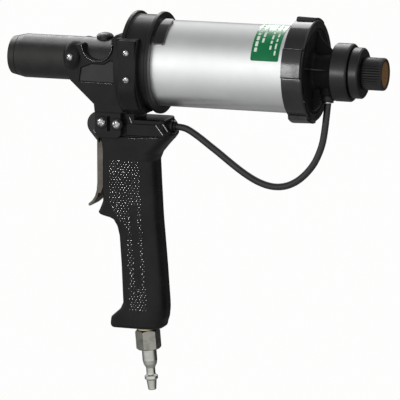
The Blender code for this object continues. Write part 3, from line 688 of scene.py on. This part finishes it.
highlight_strips = []
# Strips laid along edges of the housing and grip where highlight lines fall; the tool has no such pieces.
# Those of the block and cowl take the light grey line look, a painted highlight; the rest are glossy black
# and catch the linked lights.
HIGHLIGHT_LINES = {
    "cup_line": ([(-11.7, 13.4), *arc((-22.9, 12.5), 11.2, 0.0, -180.0, 31), (-34.1, 13.4)], 19.6, 0.4),
    "panel_line": ([(-36.2, -13.7), (-11.5, -13.9)], 18.5, 0.28),
    "cowl_line": ([(-28.1, -47.9), (-27.4, -49.2), (-26.2, -50.5), (-24.6, -51.4)], 13.0, 0.3),
    "block_line_front": ([(-1.1, -37.4), (0.7, -41.6)], 13.5, 0.35),
    "block_line_middle": ([(18.4, -42.2), (23.5, -48.6)], 13.5, 0.4),
    "block_line_rear": ([(23.0, -41.4), (26.6, -46.4)], 12.0, 0.4),
    "ledge_line": ([(-2.2, -52.7), (19.9, -51.3)], 13.4, 0.25),
}
for line_name, (spots, depth, radius) in HIGHLIGHT_LINES.items():
    for side, hand in SIDES:
        # The light grey line look is a painted highlight.
        look = "line" if line_name.startswith(("block", "cowl")) else "gloss"
        made = highlight_strip(f"{line_name}_{hand}", [(x, side * depth, z) for x, z in spots], radius, look)
        highlight_strips.append(made)
        extra(made)
# A strip on the end plug's neck that stands for a highlight line.
highlight_strips.append(highlight_strip("neck_line", [(133.6, -21.5, 4.2), (144.3, -12.4, 2.4)], 0.35))
extra(highlight_strips[-1])
# Strips on the flanks of two lugs that stand for highlight lines; the ring has no such pieces.
for k in (0, 2):
    for edge in (-17.6, 17.4):
        turn = math.radians(LUG_PHASE + 90.0 * k + edge)
        spot = (-34.45 * math.cos(turn), 34.45 * math.sin(turn))
        highlight_strips.append(
            highlight_strip(f"lug_line_{k}_{'low' if edge < 0 else 'high'}", [(117.2, *spot), (129.4, *spot)], 0.3)
        )
        extra(highlight_strips[-1], "lock_ring_body")
for side, hand in SIDES:
    inset = plate(f"cheek_panel_{hand}", PANEL, 16.8, 17.75, "panel", bevel=0.2)
    if side < 0:
        inset.data.transform(about_axis(Matrix.Scale(-1.0, 4, (0.0, 1.0, 0.0))))
        inset.data.flip_normals()
    extra(inset)

piece(housing("housing_left_fine", True), "housing_left")
piece(housing("housing_right_fine", False), "housing_right")


# Screws


screws = []


def screw(name, side, x, z, face, head, node_name, turn):
    """A cross-recess pan head standing on its face."""
    along = "-Y" if side < 0 else "+Y"
    base = face + 0.2
    obj = lathe(
        name,
        [
            (base - 3.0, 0.0), (base - 3.0, 1.6), (base, 1.6), (base, head, 0.1), (base + 0.7, head, 0.5),
            (base + 1.5, head * 0.72, 0.8), (base + 1.75, 0.0),
        ],
        "screw",
        along,
        (x, 0.0, z),
        48,
        closed=False,
    )
    cuts = []
    for k in range(2):
        bar = plate(
            f"{name}_slot_{k}",
            [
                (-head * 0.7, -head * 0.2), (head * 0.7, -head * 0.2), (head * 0.7, head * 0.2),
                (-head * 0.7, head * 0.2),
            ],
            -1.3, 1.0,
        )
        spin = Matrix.Rotation(math.radians(turn + 90.0 * k), 4, "Y")
        centre = at(0.0, 0.0, 0.0)
        bar.data.transform(
            Matrix.Translation(at(x, side * (base + 1.5), z)) @ spin @ Matrix.Translation(-centre)
        )
        cuts.append(bar)
    combine(obj, cut=cuts)
    screws.append(obj)
    piece(obj, node_name)


for side, hand in SIDES:
    screw(f"boss_screw_{hand}_fine", side, *BOSS, 22.7, 2.4, f"boss_screw_{hand}", turn=30.0)
    for (x, z), level, turn in zip(SADDLE_SCREWS, ("upper", "lower"), (10.0, 55.0)):
        screw(f"{level}_screw_{hand}_fine", side, x, z, 38.7, 2.3, f"saddle_screw_{hand}_{level}", turn)
screw("trigger_pin_fine", -1, *PIVOT, 18.6, 3.0, "trigger_pin", turn=15.0)
screw("neck_bolt_fine", -1, *NECK_BOLT, 18.6, 3.0, "neck_bolt", turn=70.0)
screw("trigger_pin_end", 1, *PIVOT, 18.6, 3.0, "trigger_pin_nut", turn=15.0)
screw("neck_bolt_end", 1, *NECK_BOLT, 18.6, 3.0, "neck_bolt_nut", turn=70.0)


# Cylinder

head = lathe(
    "cylinder_head",
    [
        (-1.3, 35.5, 0.8), (1.5, 35.5, 0.8), (1.5, 33.2, 0.8), (17.2, 33.2, 0.8), (17.2, 35.5, 0.8),
        (20.0, 35.5, 0.8), (20.0, 30.3, 0.3), (8.0, 30.3), (8.0, 16.0), (14.0, 16.0), (14.0, 9.0),
        (4.0, 9.0), (4.0, 15.7), (-1.3, 15.7, 0.4),
    ],
    "satin",
    steps=192,
)
piece(head, "front_head")
tube = lathe(
    "cylinder_barrel", [(9.6, 30.0, 0.3), (122.0, 30.0, 0.3), (122.0, 27.0), (9.6, 27.0)], "aluminium",
    steps=192,
)
piece(tube, "cylinder_tube")


def wrapped(name, x_low, x_high, low, high, inner, outer, look, corner=1.0, across=24, along=48):
    """A thin patch bent round the tube. Angles are up from the side that faces -Y."""
    bm = bmesh.new()
    levels = []
    for radius in (outer, inner):
        grid = []
        for i in range(along + 1):
            row = []
            for j in range(across + 1):
                u, v = i / along, j / across
                half_x, half_s = (x_high - x_low) / 2, math.radians(high - low) / 2 * outer
                px, ps = (2 * v - 1) * half_x, (2 * u - 1) * half_s
                over_x, over_s = abs(px) - (half_x - corner), abs(ps) - (half_s - corner)
                if over_x > 0 and over_s > 0:
                    reach = math.hypot(over_x, over_s)
                    most = max(over_x, over_s)
                    scale = most / reach
                    px = math.copysign(half_x - corner + over_x * scale, px)
                    ps = math.copysign(half_s - corner + over_s * scale, ps)
                angle = math.radians((low + high) / 2) + ps / outer
                row.append(bm.verts.new(
                    at((x_low + x_high) / 2 + px, -radius * math.cos(angle), radius * math.sin(angle))
                ))
            grid.append(row)
        levels.append(grid)
    for grid in levels:
        for i in range(along):
            for j in range(across):
                bm.faces.new((grid[i][j], grid[i][j + 1], grid[i + 1][j + 1], grid[i + 1][j]))
    top, bottom = levels
    loop = [(i, 0) for i in range(along)] + [(along, j) for j in range(across)]
    loop += [(i, across) for i in range(along, 0, -1)] + [(0, j) for j in range(across, 0, -1)]
    for (i, j), (k, m) in zip(loop, loop[1:] + loop[:1]):
        bm.faces.new((top[i][j], top[k][m], bottom[k][m], bottom[i][j]))
    return shade(from_bmesh(name, bm, look), 50.0, weighted=False)


label = wrapped("label_film", 92.4, 112.3, 18.0, 100.0, 30.05, 30.25, "label", 1.2)
piece(label, "rating_label")
random.seed(7)
bars = []
for row, (x_low, x_high, low, high) in enumerate(
    (
        (94.2, 96.2, 30.0, 92.0), (98.4, 100.0, 44.0, 78.0), (104.8, 106.2, 34.0, 86.0),
        (108.6, 109.8, 26.0, 90.0),
    )
):
    spot = low
    while spot < high:
        width = random.uniform(4.0, 10.0)
        end = min(spot + width, high)
        bars.append(wrapped(f"bar_{row}_{len(bars)}", x_low, x_high, spot, end, 30.2, 30.3, "ink", 0.3, 3, 8))
        spot = end + random.uniform(1.6, 3.0)
ink = bars[0]
ink.name = "label_bars"
with bpy.context.temp_override(active_object=ink, selected_editable_objects=bars):
    bpy.ops.object.join()
extra(ink)
catch = wrapped("catch_tab", 20.8, 28.8, 33.0, 82.0, 30.1, 31.9, "gloss", 2.0)
piece(catch, "locking_catch")


# Rear end


def ramp_step(value, low, high):
    t = min(max((value - low) / (high - low), 0.0), 1.0)
    return t * t * (3 - 2 * t)


def lugged_ring():
    """The screw ring: four lugs stand on it, each with rounded flanks."""
    half, flank, phase = LUG_HALF_ANGLE, 1.2, LUG_PHASE
    angles = []
    for k in range(4):
        middle = phase + 90.0 * k
        for edge in (-half, half):
            angles += [middle + edge + d for d in np.linspace(-2.0, 2.0, 15)]
        angles += [middle + d for d in np.linspace(-13.5, 13.5, 12)]
        angles += [middle + 45.0 + d for d in np.linspace(-24.5, 24.5, 20)]
    angles = sorted({round(a % 360.0, 4) for a in angles})
    stations = [116.1, 116.15, 116.3, 116.6, 117.0, 118.0, 120.0, 122.0, 124.0, 126.0, 128.0, 129.0, 129.7]
    stations += [129.9, 130.1, 130.25, 130.35, 130.42, 130.5, 130.6, 130.75, 130.85, 130.95, 131.0]
    inner = [
        (131.0, 33.4), (131.0, 30.2), (130.7, 29.6), (128.3, 29.5), (128.3, 32.1), (122.0, 32.1),
        (122.0, 30.3), (116.1, 30.3), (116.1, 33.4),
    ]

    def outer_radius(station, angle):
        near = min(abs((angle - phase + 45.0) % 90.0 - 45.0), 90.0)
        lug = 1.0 - ramp_step(near, half - flank / 2, half + flank / 2)
        base = 34.3
        if station > 129.7:
            base += 0.5 * ramp_step(station, 129.7, 130.2) - 0.9 * ramp_step(station, 130.5, 131.05)
        if station < 116.6:
            base -= 0.5 * (1 - ramp_step(station, 116.0, 116.6))
        height = 2.3 - 0.03 * (station - 116.0)
        height *= 1.0 - ramp_step(station, 129.95, 130.45)
        height *= ramp_step(station, 115.9, 116.6)
        return base + height * lug

    bm = bmesh.new()
    rings = []
    for station in stations:
        rings.append([(station, outer_radius(station, a), a) for a in angles])
    for station, radius in inner:
        rings.append([(station, radius, a) for a in angles])
    loops = [
        [
            bm.verts.new(at(s, -r * math.cos(math.radians(a)), r * math.sin(math.radians(a)))) for s, r,
            a in ring
        ]
        for ring in rings
    ]
    for one, two in zip(loops, loops[1:] + loops[:1]):
        for angle, made in zip(angles, bridge(bm, one, two)):
            near = abs((angle + 0.1 - phase + 45.0) % 90.0 - 45.0)
            made.material_index = 1 if abs(near - half) < 1.4 else 0
    obj = from_bmesh("lock_ring_fine", bm, "gloss")
    obj.data.materials.append(M["plug"])
    return shade(obj, 40.0)


ring = lugged_ring()
piece(ring, "lock_ring")

plug = lathe(
    "end_plug",
    [
        (114.5, 26.7, 0.4), (116.0, 26.7), (116.0, 24.9), (118.6, 24.9), (118.6, 26.7), (122.3, 26.7),
        (122.3, 31.8), (128.0, 31.8), (128.0, 29.1), (130.6, 29.1, 0.4), (130.6, 27.6, 0.3),
        (129.9, 26.8, 0.5), (129.9, 14.5, 0.8), (131.0, 12.0, 1.5), (144.8, 12.0, 0.3), (144.8, 4.0),
        (114.5, 4.0),
    ],
    "plug",
    steps=128,
)
ribs = []
for k in range(4):
    web = [(127.0, 10.5), (127.0, 27.4), (130.2, 27.4, 0.3), (133.4, 22.0, 0.5), (144.4, 12.5), (144.4, 10.5)]
    rib = plate(f"rib_{k}", web, -0.5, 0.5, bevel=0.2)
    spin = Matrix.Rotation(math.radians(79.0 + 90.0 * k), 4, "X")
    rib.data.transform(about_axis(spin))
    ribs.append(rib)
ribs.append(pin("fitting_boss", -16.0, -6.0, 5.6, "Z", HOSE_END))
combine(plug, ribs, [pin("fitting_bore", -20.0, -2.0, 3.3, "Z", HOSE_END)])
piece(plug, "rear_plug")

valve = lathe(
    "exhaust_body",
    [
        (145.1, 19.2, 0.3), (146.1, 20.0, 0.8), (156.5, 20.0, 0.8), (157.4, 19.2, 0.3), (157.4, 15.0),
        (148.2, 15.0), (148.2, 4.0), (145.1, 4.0),
    ],
    "satin",
    steps=128,
)
piece(valve, "exhaust_valve_body")
cap = lathe(
    "exhaust_cap",
    [
        (154.4, 14.7), (157.7, 14.7), (157.7, 16.8, 0.3), (158.5, 17.5, 0.6), (164.1, 17.5, 0.8),
        (164.9, 16.6, 0.6), (164.9, 7.9, 0.3), (158.7, 7.9), (158.7, 5.0), (154.4, 5.0),
    ],
    "satin",
    steps=128,
)
piece(cap, "exhaust_valve_cap")


def ribbed_knob(count=40):
    """The silencer's knob with rounded ribs along it."""
    per_rib = 8
    total = count * per_rib
    sections = [
        (159.0, 7.5, 0.0), (165.2, 7.5, 0.0), (165.2, 10.2, 0.0), (165.5, 10.9, 0.1), (166.2, 11.25, 0.45),
    ]
    sections += [
        (169.0, 11.25, 0.5), (176.0, 11.25, 0.5), (178.6, 11.25, 0.45), (179.6, 11.0, 0.1),
        (180.0, 10.5, 0.0),
    ]
    sections += [
        (180.0, 9.2, 0.0), (179.8, 9.0, 0.0), (179.5, 9.7, 0.0), (172.0, 9.7, 0.0), (172.0, 4.0, 0.0),
        (159.0, 4.0, 0.0),
    ]
    bm = bmesh.new()
    loops = []
    for station, radius, depth in sections:
        loop = []
        for k in range(total):
            angle = math.tau * k / total
            groove = max(0.0, math.cos(math.tau * k / per_rib)) ** 1.5
            r = radius - depth * groove
            loop.append(bm.verts.new(at(station, r * math.cos(angle), r * math.sin(angle))))
        loops.append(loop)
    for one, two in zip(loops, loops[1:] + loops[:1]):
        bridge(bm, one, two)
    return shade(from_bmesh("silencer_grip", bm, "satin"), 40.0)


knob = ribbed_knob()
piece(knob, "silencer_knob")
disc = lathe(
    "silencer_face", [(176.8, 0.0), (176.8, 9.4), (179.2, 9.4, 0.2), (179.4, 8.9, 0.3), (179.6, 0.0)],
    "bronze", steps=96, closed=False,
)
piece(disc, "silencer_disc")


# Grip

# Height, front, rear, half width and the radii of the front and rear corners.
GRIP_SECTIONS = np.array(
    (
        (-30.0, -24.0, 23.8, 13.1, 3.0, 4.0), (-41.0, -24.0, 23.8, 13.1, 3.0, 4.0),
        (-45.6, -24.0, 24.4, 13.2, 3.0, 5.0), (-48.3, -24.0, 27.7, 13.4, 3.0, 6.0),
        (-50.0, -24.0, 28.4, 13.4, 3.0, 8.5), (-53.0, -23.6, 26.3, 13.4, 3.0, 8.5),
        (-58.0, -22.8, 21.7, 13.5, 3.5, 8.5), (-63.4, -22.2, 17.7, 13.5, 4.0, 10.5),
        (-68.5, -22.1, 15.6, 13.5, 4.0, 10.5), (-86.0, -22.1, 16.4, 13.5, 4.0, 10.5),
        (-98.5, -22.3, 17.1, 13.5, 4.0, 10.5), (-103.5, -24.2, 17.3, 13.5, 3.6, 10.5),
        (-106.3, -25.6, 17.5, 13.5, 3.4, 10.5), (-107.9, -24.2, 17.6, 13.5, 3.4, 10.5),
        (-109.4, -17.6, 17.7, 13.5, 4.0, 10.5), (-111.0, -14.4, 17.8, 13.5, 4.0, 10.5),
        (-115.6, -11.6, 18.2, 13.5, 4.0, 10.5), (-122.3, -10.0, 18.8, 13.5, 4.0, 10.5),
        (-143.4, -8.6, 20.6, 13.5, 4.0, 10.5), (-170.0, -7.5, 22.5, 13.5, 4.0, 10.5),
        (-174.4, -9.5, 22.6, 13.5, 4.0, 10.5), (-180.6, -16.4, 22.0, 13.5, 4.0, 10.5),
        (-184.4, -17.0, 20.8, 13.4, 4.0, 10.5), (-192.0, -17.0, 19.6, 13.4, 4.0, 10.5),
    )
)
FINE_HEIGHTS = np.arange(-192.0, -30.0, 0.25)
FINE_SECTIONS = []
for column in range(1, 6):
    values = np.interp(FINE_HEIGHTS, GRIP_SECTIONS[::-1, 0], GRIP_SECTIONS[::-1, column])
    kernel = np.hanning(9)
    FINE_SECTIONS.append(np.convolve(np.pad(values, 4, mode="edge"), kernel / kernel.sum(), mode="valid"))


def grip_gap(x, y, z):
    front, rear, half, front_radius, rear_radius = (
        np.interp(z, FINE_HEIGHTS, column) for column in FINE_SECTIONS
    )
    middle = (front + rear) / 2
    radius = np.where(x < middle, front_radius, rear_radius)
    qx = np.abs(x - middle) - (rear - front) / 2 + radius
    qy = np.abs(y) - half + radius
    solid = np.minimum(np.maximum(qx, qy), 0.0) + np.hypot(np.maximum(qx, 0.0), np.maximum(qy, 0.0)) - radius
    side = np.abs(y)
    band_end = 20.0 + (-42.8 - z) * 0.72
    band = thick(larger(x - band_end, -3.6 - x), z, -50.2, -42.0, 0.3) + 0.0 * y
    raised = larger(band, side - 13.8, 0.4)
    solid = smaller(solid, larger(raised, 6.0 - side), 0.3)
    ledge = larger(np.abs(z + 51.1) - 0.4, np.maximum(x - 24.0, -12.0 - x))
    solid = larger(solid, -larger(ledge, 12.8 - side), 0.5)
    notch = larger(np.abs((x - 24.4) * 0.811 + (z + 45.8) * 0.585) - 0.7, np.abs(z + 45.8) - 4.0)
    solid = larger(solid, -larger(notch, 12.2 - side), 0.6)
    lower = z + 38.8
    tower = np.maximum(z + 34.3, x - 2.2)
    solid = larger(solid, np.minimum(lower, tower), 1.4)
    solid = larger(solid, -188.4 - z, 3.0)
    solid = larger(solid, 36.1 - np.hypot(y, z))
    slot = box_gap(x, y, z, (-50.0, -9.0, -104.6), (-14.5, 9.0, -20.0), 0.8)
    solid = larger(solid, -slot, 0.6)
    port = larger(np.hypot(y, z + 44.6) - 4.6, 19.0 - x)
    return larger(solid, -port, 0.4)


grip = skin("grip_fine", (-27.0, -14.5, -190.0), (29.5, 14.5, -33.0), 0.5, grip_gap, "grip")
piece(grip, "grip")


def in_panel(x, z):
    """How far a point of the grip's side is inside the pebbled panel, in mm."""
    left = np.interp(z, [-190, -170, -116, -112, -100, -67], [-1.6, -1.8, -3.6, -8.6, -16.8, -17.2])
    right = np.interp(z, [-190, -67], [13.6, 6.8])
    strip = abs(x - np.interp(z, [-159, -100], [6.0, 1.5])) - 2.2
    strip = max(strip, abs(z + 129.5) - 29.5)
    return min(x - left, right - x, z + 177.0, -67.0 - z, strip + 0.6)


def pebble_panel(name, side):
    """Rows of low domes over the grip's flat side."""
    rng = np.random.default_rng(11)
    pitch = 2.3
    seeds = []
    for row, z in enumerate(np.arange(-178.0, -66.0, pitch * 0.8)):
        for x in np.arange(-19.0 + (pitch / 2 if row % 2 else 0.0), 14.0, pitch):
            if in_panel(x, z) > 0.9:
                jitter = rng.uniform(-0.32, 0.32, 2)
                seeds.append((x + jitter[0], z + jitter[1], rng.uniform(0.70, 1.02)))
    bm = bmesh.new()
    around = 14
    for x, z, radius in seeds:
        rings = []
        for reach, lift in (
            (1.05, -0.3), (1.02, 0.10), (0.94, 0.22), (0.75, 0.36), (0.50, 0.47), (0.25, 0.53),
        ):
            ring = []
            for k in range(around):
                a = math.tau * k / around
                spot = at(
                    x + radius * reach * math.cos(a), side * (13.45 + lift),
                    z + radius * reach * math.sin(a),
                )
                ring.append(bm.verts.new(spot))
            rings.append(ring)
        for one, two in zip(rings, rings[1:]):
            bridge(bm, one, two)
        tip = bm.verts.new(at(x, side * 14.0, z))
        for k in range(around):
            bm.faces.new((rings[-1][k], rings[-1][(k + 1) % around], tip))
        bm.faces.new(rings[0])
    obj = from_bmesh(name, bm, "pebble")
    obj.data.shade_smooth()
    return obj


pebbles = [pebble_panel("pebbles_left", -1), pebble_panel("pebbles_right", 1)]
for panel in pebbles:
    extra(panel)

COWL = [*arc((-24.3, -43.7), 8.9, 90.0, 218.0, 31), (-24.3, -57.3)]


def cowl_gap(x, y, z):
    solid = thick(outline_gap(x, z, COWL) + 0.0 * y, y, -13.0, 13.0, 1.4)
    solid = larger(solid, x + 24.3, 0.3)
    hollow = smaller(np.hypot(x + 24.3, z + 43.7) - 6.7, larger(-31.0 - x, z + 43.7))
    return larger(solid, -larger(hollow, np.abs(y) - 9.4, 0.6), 0.5)


cowl = skin("cowl_fine", (-34.0, -13.5, -58.5), (-23.5, 13.5, -34.0), 0.35, cowl_gap, "gloss")
piece(cowl, "trigger_cowl")


# Trigger

FACE_LINE = [
    (-26.35, -41.0), (-26.35, -86.0), (-26.9, -92.0), (-28.2, -96.2), (-30.4, -99.7), (-33.1, -102.0),
]


def lever_gap(x, y, z):
    blade = None
    for (x0, z0), (x1, z1) in zip(FACE_LINE, FACE_LINE[1:]):
        dx, dz = x1 - x0, z1 - z0
        along = np.clip(((x - x0) * dx + (z - z0) * dz) / (dx * dx + dz * dz), 0.0, 1.0)
        gap = np.hypot(x - x0 - along * dx, z - z0 - along * dz)
        blade = gap if blade is None else np.minimum(blade, gap)
    solid = thick(blade - 1.05 + 0.0 * y, y, -8.5, 8.5, 0.5)
    side = np.abs(y)
    wing_shape = [(-26.6, -52.0), (-22.8, -56.0), (-22.8, -89.0), (-24.6, -93.5), (-26.8, -93.5)]
    wing = thick(outline_gap(x, z, wing_shape) + 0.0 * y, side, 6.9, 8.5, 0.4)
    solid = smaller(solid, wing, 0.8)
    hub = larger(np.hypot(x - PIVOT[0], z - PIVOT[1]) - 4.8, side - 6.0, 0.5)
    web = box_gap(x, y, z, (-26.5, -6.0, -48.5), (-20.5, 6.0, -41.0), 0.6)
    solid = smaller(solid, smaller(hub, larger(web, x + 20.1), 0.4), 0.6)
    return larger(solid, 2.8 - np.hypot(x - PIVOT[0], z - PIVOT[1]))


lever = skin("trigger_lever", (-36.0, -9.0, -104.5), (-14.5, 9.0, -35.0), 0.35, lever_gap, "lever")
piece(lever, "trigger")


# Air inlet

LEAN = math.radians(4.7)
INLET = (6.7, 0.0, -189.2)
lean = Matrix.Rotation(-LEAN, 3, "Y")
washer = lathe(
    "washer_fine", [(0.0, 7.6, 0.15), (-0.9, 7.6, 0.15), (-0.9, 6.2), (0.0, 6.2)], "brassy", place=INLET,
    turn=lean, steps=64,
)
piece(washer, "inlet_washer")


def hexagon():
    """The adaptor's hexagon, with its corners turned down at both ends."""
    flats = 15.4
    corner = flats / math.sqrt(3.0)
    chamfer = lathe(
        "hex_chamfer",
        [
            (-1.2, 0.0), (-1.2, 7.5, 0.2), (-2.4, corner + 0.05, 0.3), (-14.2, corner + 0.05, 0.3),
            (-15.4, 7.5, 0.2), (-15.4, 0.0),
        ],
        "zinc", place=INLET, turn=lean, steps=128, closed=False,
    )
    bm = bmesh.new()
    loops = []
    for station in (-1.0, -15.6):
        loop = []
        for k in range(6):
            a = math.radians(26.0 + 60.0 * k)
            loop.append(bm.verts.new(
                at(*INLET) + (lean @ Vector((corner * math.cos(a), corner * math.sin(a), station))) * MM
            ))
        loops.append(loop)
    bridge(bm, *loops)
    bm.faces.new(loops[0])
    bm.faces.new(list(reversed(loops[1])))
    prism = from_bmesh("hex_prism", bm)
    chamfer.modifiers.clear()
    step = chamfer.modifiers.new("hex", "BOOLEAN")
    step.operation = "INTERSECT"
    step.object = prism
    bake(chamfer)
    bpy.data.objects.remove(prism)
    neck = lathe(
        "hex_neck", [(-2.0, 5.8), (10.4, 5.8), (10.4, 3.0), (-2.0, 3.0)], None, place=INLET, turn=lean,
        steps=64,
    )
    bore = lathe(
        "hex_bore", [(-20.0, 0.0), (-20.0, 2.6), (5.0, 2.6), (5.0, 0.0)], None, place=INLET, turn=lean,
        steps=48, closed=False,
    )
    combine(chamfer, [neck], [bore])
    chamfer.name = "hex_adaptor_fine"
    return chamfer


piece(hexagon(), "hex_adaptor")
plug_body = lathe(
    "air_plug_fine",
    [
        (-15.7, 5.2, 0.3), (-23.4, 5.2, 1.0), (-26.2, 4.6, 2.0), (-28.8, 3.2, 2.0), (-33.6, 3.2, 0.8),
        (-34.6, 4.7, 0.5), (-36.8, 4.7, 0.5), (-37.6, 3.6, 0.8), (-44.2, 2.9, 0.4), (-44.8, 2.5, 0.3),
        (-44.8, 1.9, 0.2), (-15.7, 1.9),
    ],
    "nickel",
    place=INLET,
    turn=lean,
    steps=64,
)
piece(plug_body, "air_plug")


# Hose fittings

port = (0.0, 0.0, -44.6)
front_fitting = lathe(
    "port_fitting", [(20.0, 4.3), (25.6, 4.3, 0.5), (26.4, 3.8, 0.4), (26.4, 2.7), (20.0, 2.7)], "satin",
    "X", port, 64,
)
piece(front_fitting, "hose_fitting_front")
front_collet = lathe(
    "port_collet", [(26.7, 3.6, 0.3), (28.5, 3.9, 0.5), (28.5, 2.7, 0.3), (26.7, 2.7)], "satin", "X", port,
    64,
)
piece(front_collet, "hose_collet_front")
rear_fitting = lathe(
    "rear_fitting",
    [
        (-7.0, 3.0), (-16.3, 3.0), (-16.3, 5.4, 0.4), (-19.4, 5.4, 0.5), (-20.2, 4.7, 0.3), (-20.2, 1.8),
        (-7.0, 1.8),
    ],
    "satin", "Z", HOSE_END, 64,
)
piece(rear_fitting, "hose_fitting_rear")
rear_collet = lathe(
    "rear_collet", [(-20.5, 3.9, 0.3), (-21.6, 4.2, 0.3), (-21.6, 2.7), (-20.5, 2.7)], "nickel", "Z",
    HOSE_END, 64,
)
piece(rear_collet, "hose_collet_rear")


# Floor, lights, world


def light(name, kind_size, place, target, power, subjects):
    """An area light that shines only on its subjects, as flags would make it."""
    data = bpy.data.lights.new(name, "AREA")
    data.shape = "RECTANGLE"
    data.size, data.size_y = kind_size
    data.energy = power
    obj = new_object(name, data)
    obj.location = place
    obj.rotation_euler = (Vector(place) - Vector(target)).to_track_quat("Z", "Y").to_euler()
    group = bpy.data.collections.new(f"{name}_subjects")
    for subject in subjects:
        group.objects.link(subject)
    obj.light_linking.receiver_collection = group


CENTRE = (0.04, 0.0, 0.04)
light("nose_box", (0.50, 0.76), (-0.30, 0.25, 0.585), (-0.14, 0.02, 0.12), 5.0, (nose, mouth, stud))
light("head_box", (0.20, 0.30), (-0.15, 0.36, 0.44), (0.01, 0.0, 0.12), 0.5, (head, catch))
light("ring_box", (0.20, 0.30), (-0.02, 0.36, 0.44), (0.12, 0.0, 0.12), 0.8, (ring, valve, cap, knob))
light("lug_box", (0.16, 1.10), (-0.54, -1.88, 0.20), (0.10, 0.0, 0.10), 48.0, (ring, *highlight_strips))
light("cap_box", (0.14, 0.40), (-0.54, -1.88, 0.255), (0.10, 0.0, 0.10), 9.0, (valve, cap, catch))
light("glint_box", (0.30, 0.30), (-1.22, -0.56, 0.39), CENTRE, 170.0, pebbles)
light("label_box", (0.20, 0.30), (-0.04, 0.36, 0.44), (0.10, 0.0, 0.12), 3.0, (label,))
light("screw_box", (0.30, 0.30), (-0.70, -1.30, 0.50), CENTRE, 22.0, screws)

floor_bm = bmesh.new()
CORNERS = ((-30.0, -30.0), (30.0, -30.0), (30.0, 30.0), (-30.0, 30.0))
corners = [floor_bm.verts.new((x, y, -0.6)) for x, y in CORNERS]
floor_bm.faces.new(corners)
floor_mesh = bpy.data.meshes.new("floor")
floor_bm.to_mesh(floor_mesh)
floor_bm.free()
floor = new_object("floor", floor_mesh)
pale = bpy.data.materials.new("pale_floor")
pale.use_nodes = True
pale.node_tree.nodes.clear()
glow = node(pale.node_tree, "ShaderNodeEmission")
glow.inputs["Color"].default_value = PALE
glow.inputs["Strength"].default_value = 1.0
out = node(pale.node_tree, "ShaderNodeOutputMaterial")
pale.node_tree.links.new(glow.outputs["Emission"], out.inputs["Surface"])
floor_mesh.materials.append(pale)
floor.visible_diffuse = False
floor.visible_glossy = False
floor.visible_shadow = False

world = bpy.data.worlds.new("studio")
bpy.context.scene.world = world
world.use_nodes = True
tree = world.node_tree
link = tree.links.new
background = tree.nodes["Background"]
path = node(tree, "ShaderNodeLightPath")
direction = node(tree, "ShaderNodeSeparateXYZ")
link(node(tree, "ShaderNodeTexCoord").outputs["Generated"], direction.inputs["Vector"])
forward = node(tree, "ShaderNodeMath", operation="MULTIPLY")
forward.inputs[1].default_value = -1.0
link(direction.outputs["Y"], forward.inputs[0])
rise = node(tree, "ShaderNodeMath", operation="ARCTAN2")
link(direction.outputs["Z"], rise.inputs[0])
link(forward.outputs["Value"], rise.inputs[1])
turn = node(tree, "ShaderNodeMapRange")
turn.inputs["From Min"].default_value = -math.pi
turn.inputs["From Max"].default_value = math.pi
link(rise.outputs["Value"], turn.inputs["Value"])
studio = node(tree, "ShaderNodeValToRGB")
# The studio's brightness from behind, under, in front, above and behind again, by angle in degrees.
STUDIO = (
    (-180, 0.04), (-160, 0.08), (-140, 0.24), (-120, 0.32), (-100, 0.37), (-79, 0.43),
    (-61, 0.52), (-45, 0.65), (-30, 0.85), (-16, 1.02), (-2, 1.30), (11, 1.46),
    (25, 1.30), (39, 0.92), (53, 0.60), (68, 0.44), (84, 0.42), (101, 0.58),
    (123, 0.84), (145, 1.05), (158, 0.90), (170, 0.15), (180, 0.04),
)
while len(studio.color_ramp.elements) < len(STUDIO):
    studio.color_ramp.elements.new(0.5)
for element, (angle, _) in zip(studio.color_ramp.elements, STUDIO):
    element.position = (angle + 180) / 360
for element, (_, value) in zip(studio.color_ramp.elements, STUDIO):
    element.color = (value, value, value * 0.985, 1.0)
link(turn.outputs["Result"], studio.inputs["Fac"])
# The sockets of a Mix node that carry colours, which share their names with its other sockets.
MIX_A, MIX_B, MIX_COLOUR = 6, 7, 2
mix = node(tree, "ShaderNodeMix", data_type="RGBA")
mix.inputs[MIX_B].default_value = PALE
link(path.outputs["Is Camera Ray"], mix.inputs["Factor"])
link(studio.outputs["Color"], mix.inputs[MIX_A])
link(mix.outputs[MIX_COLOUR], background.inputs["Color"])

bpy.context.scene.view_settings.view_transform = "Standard"
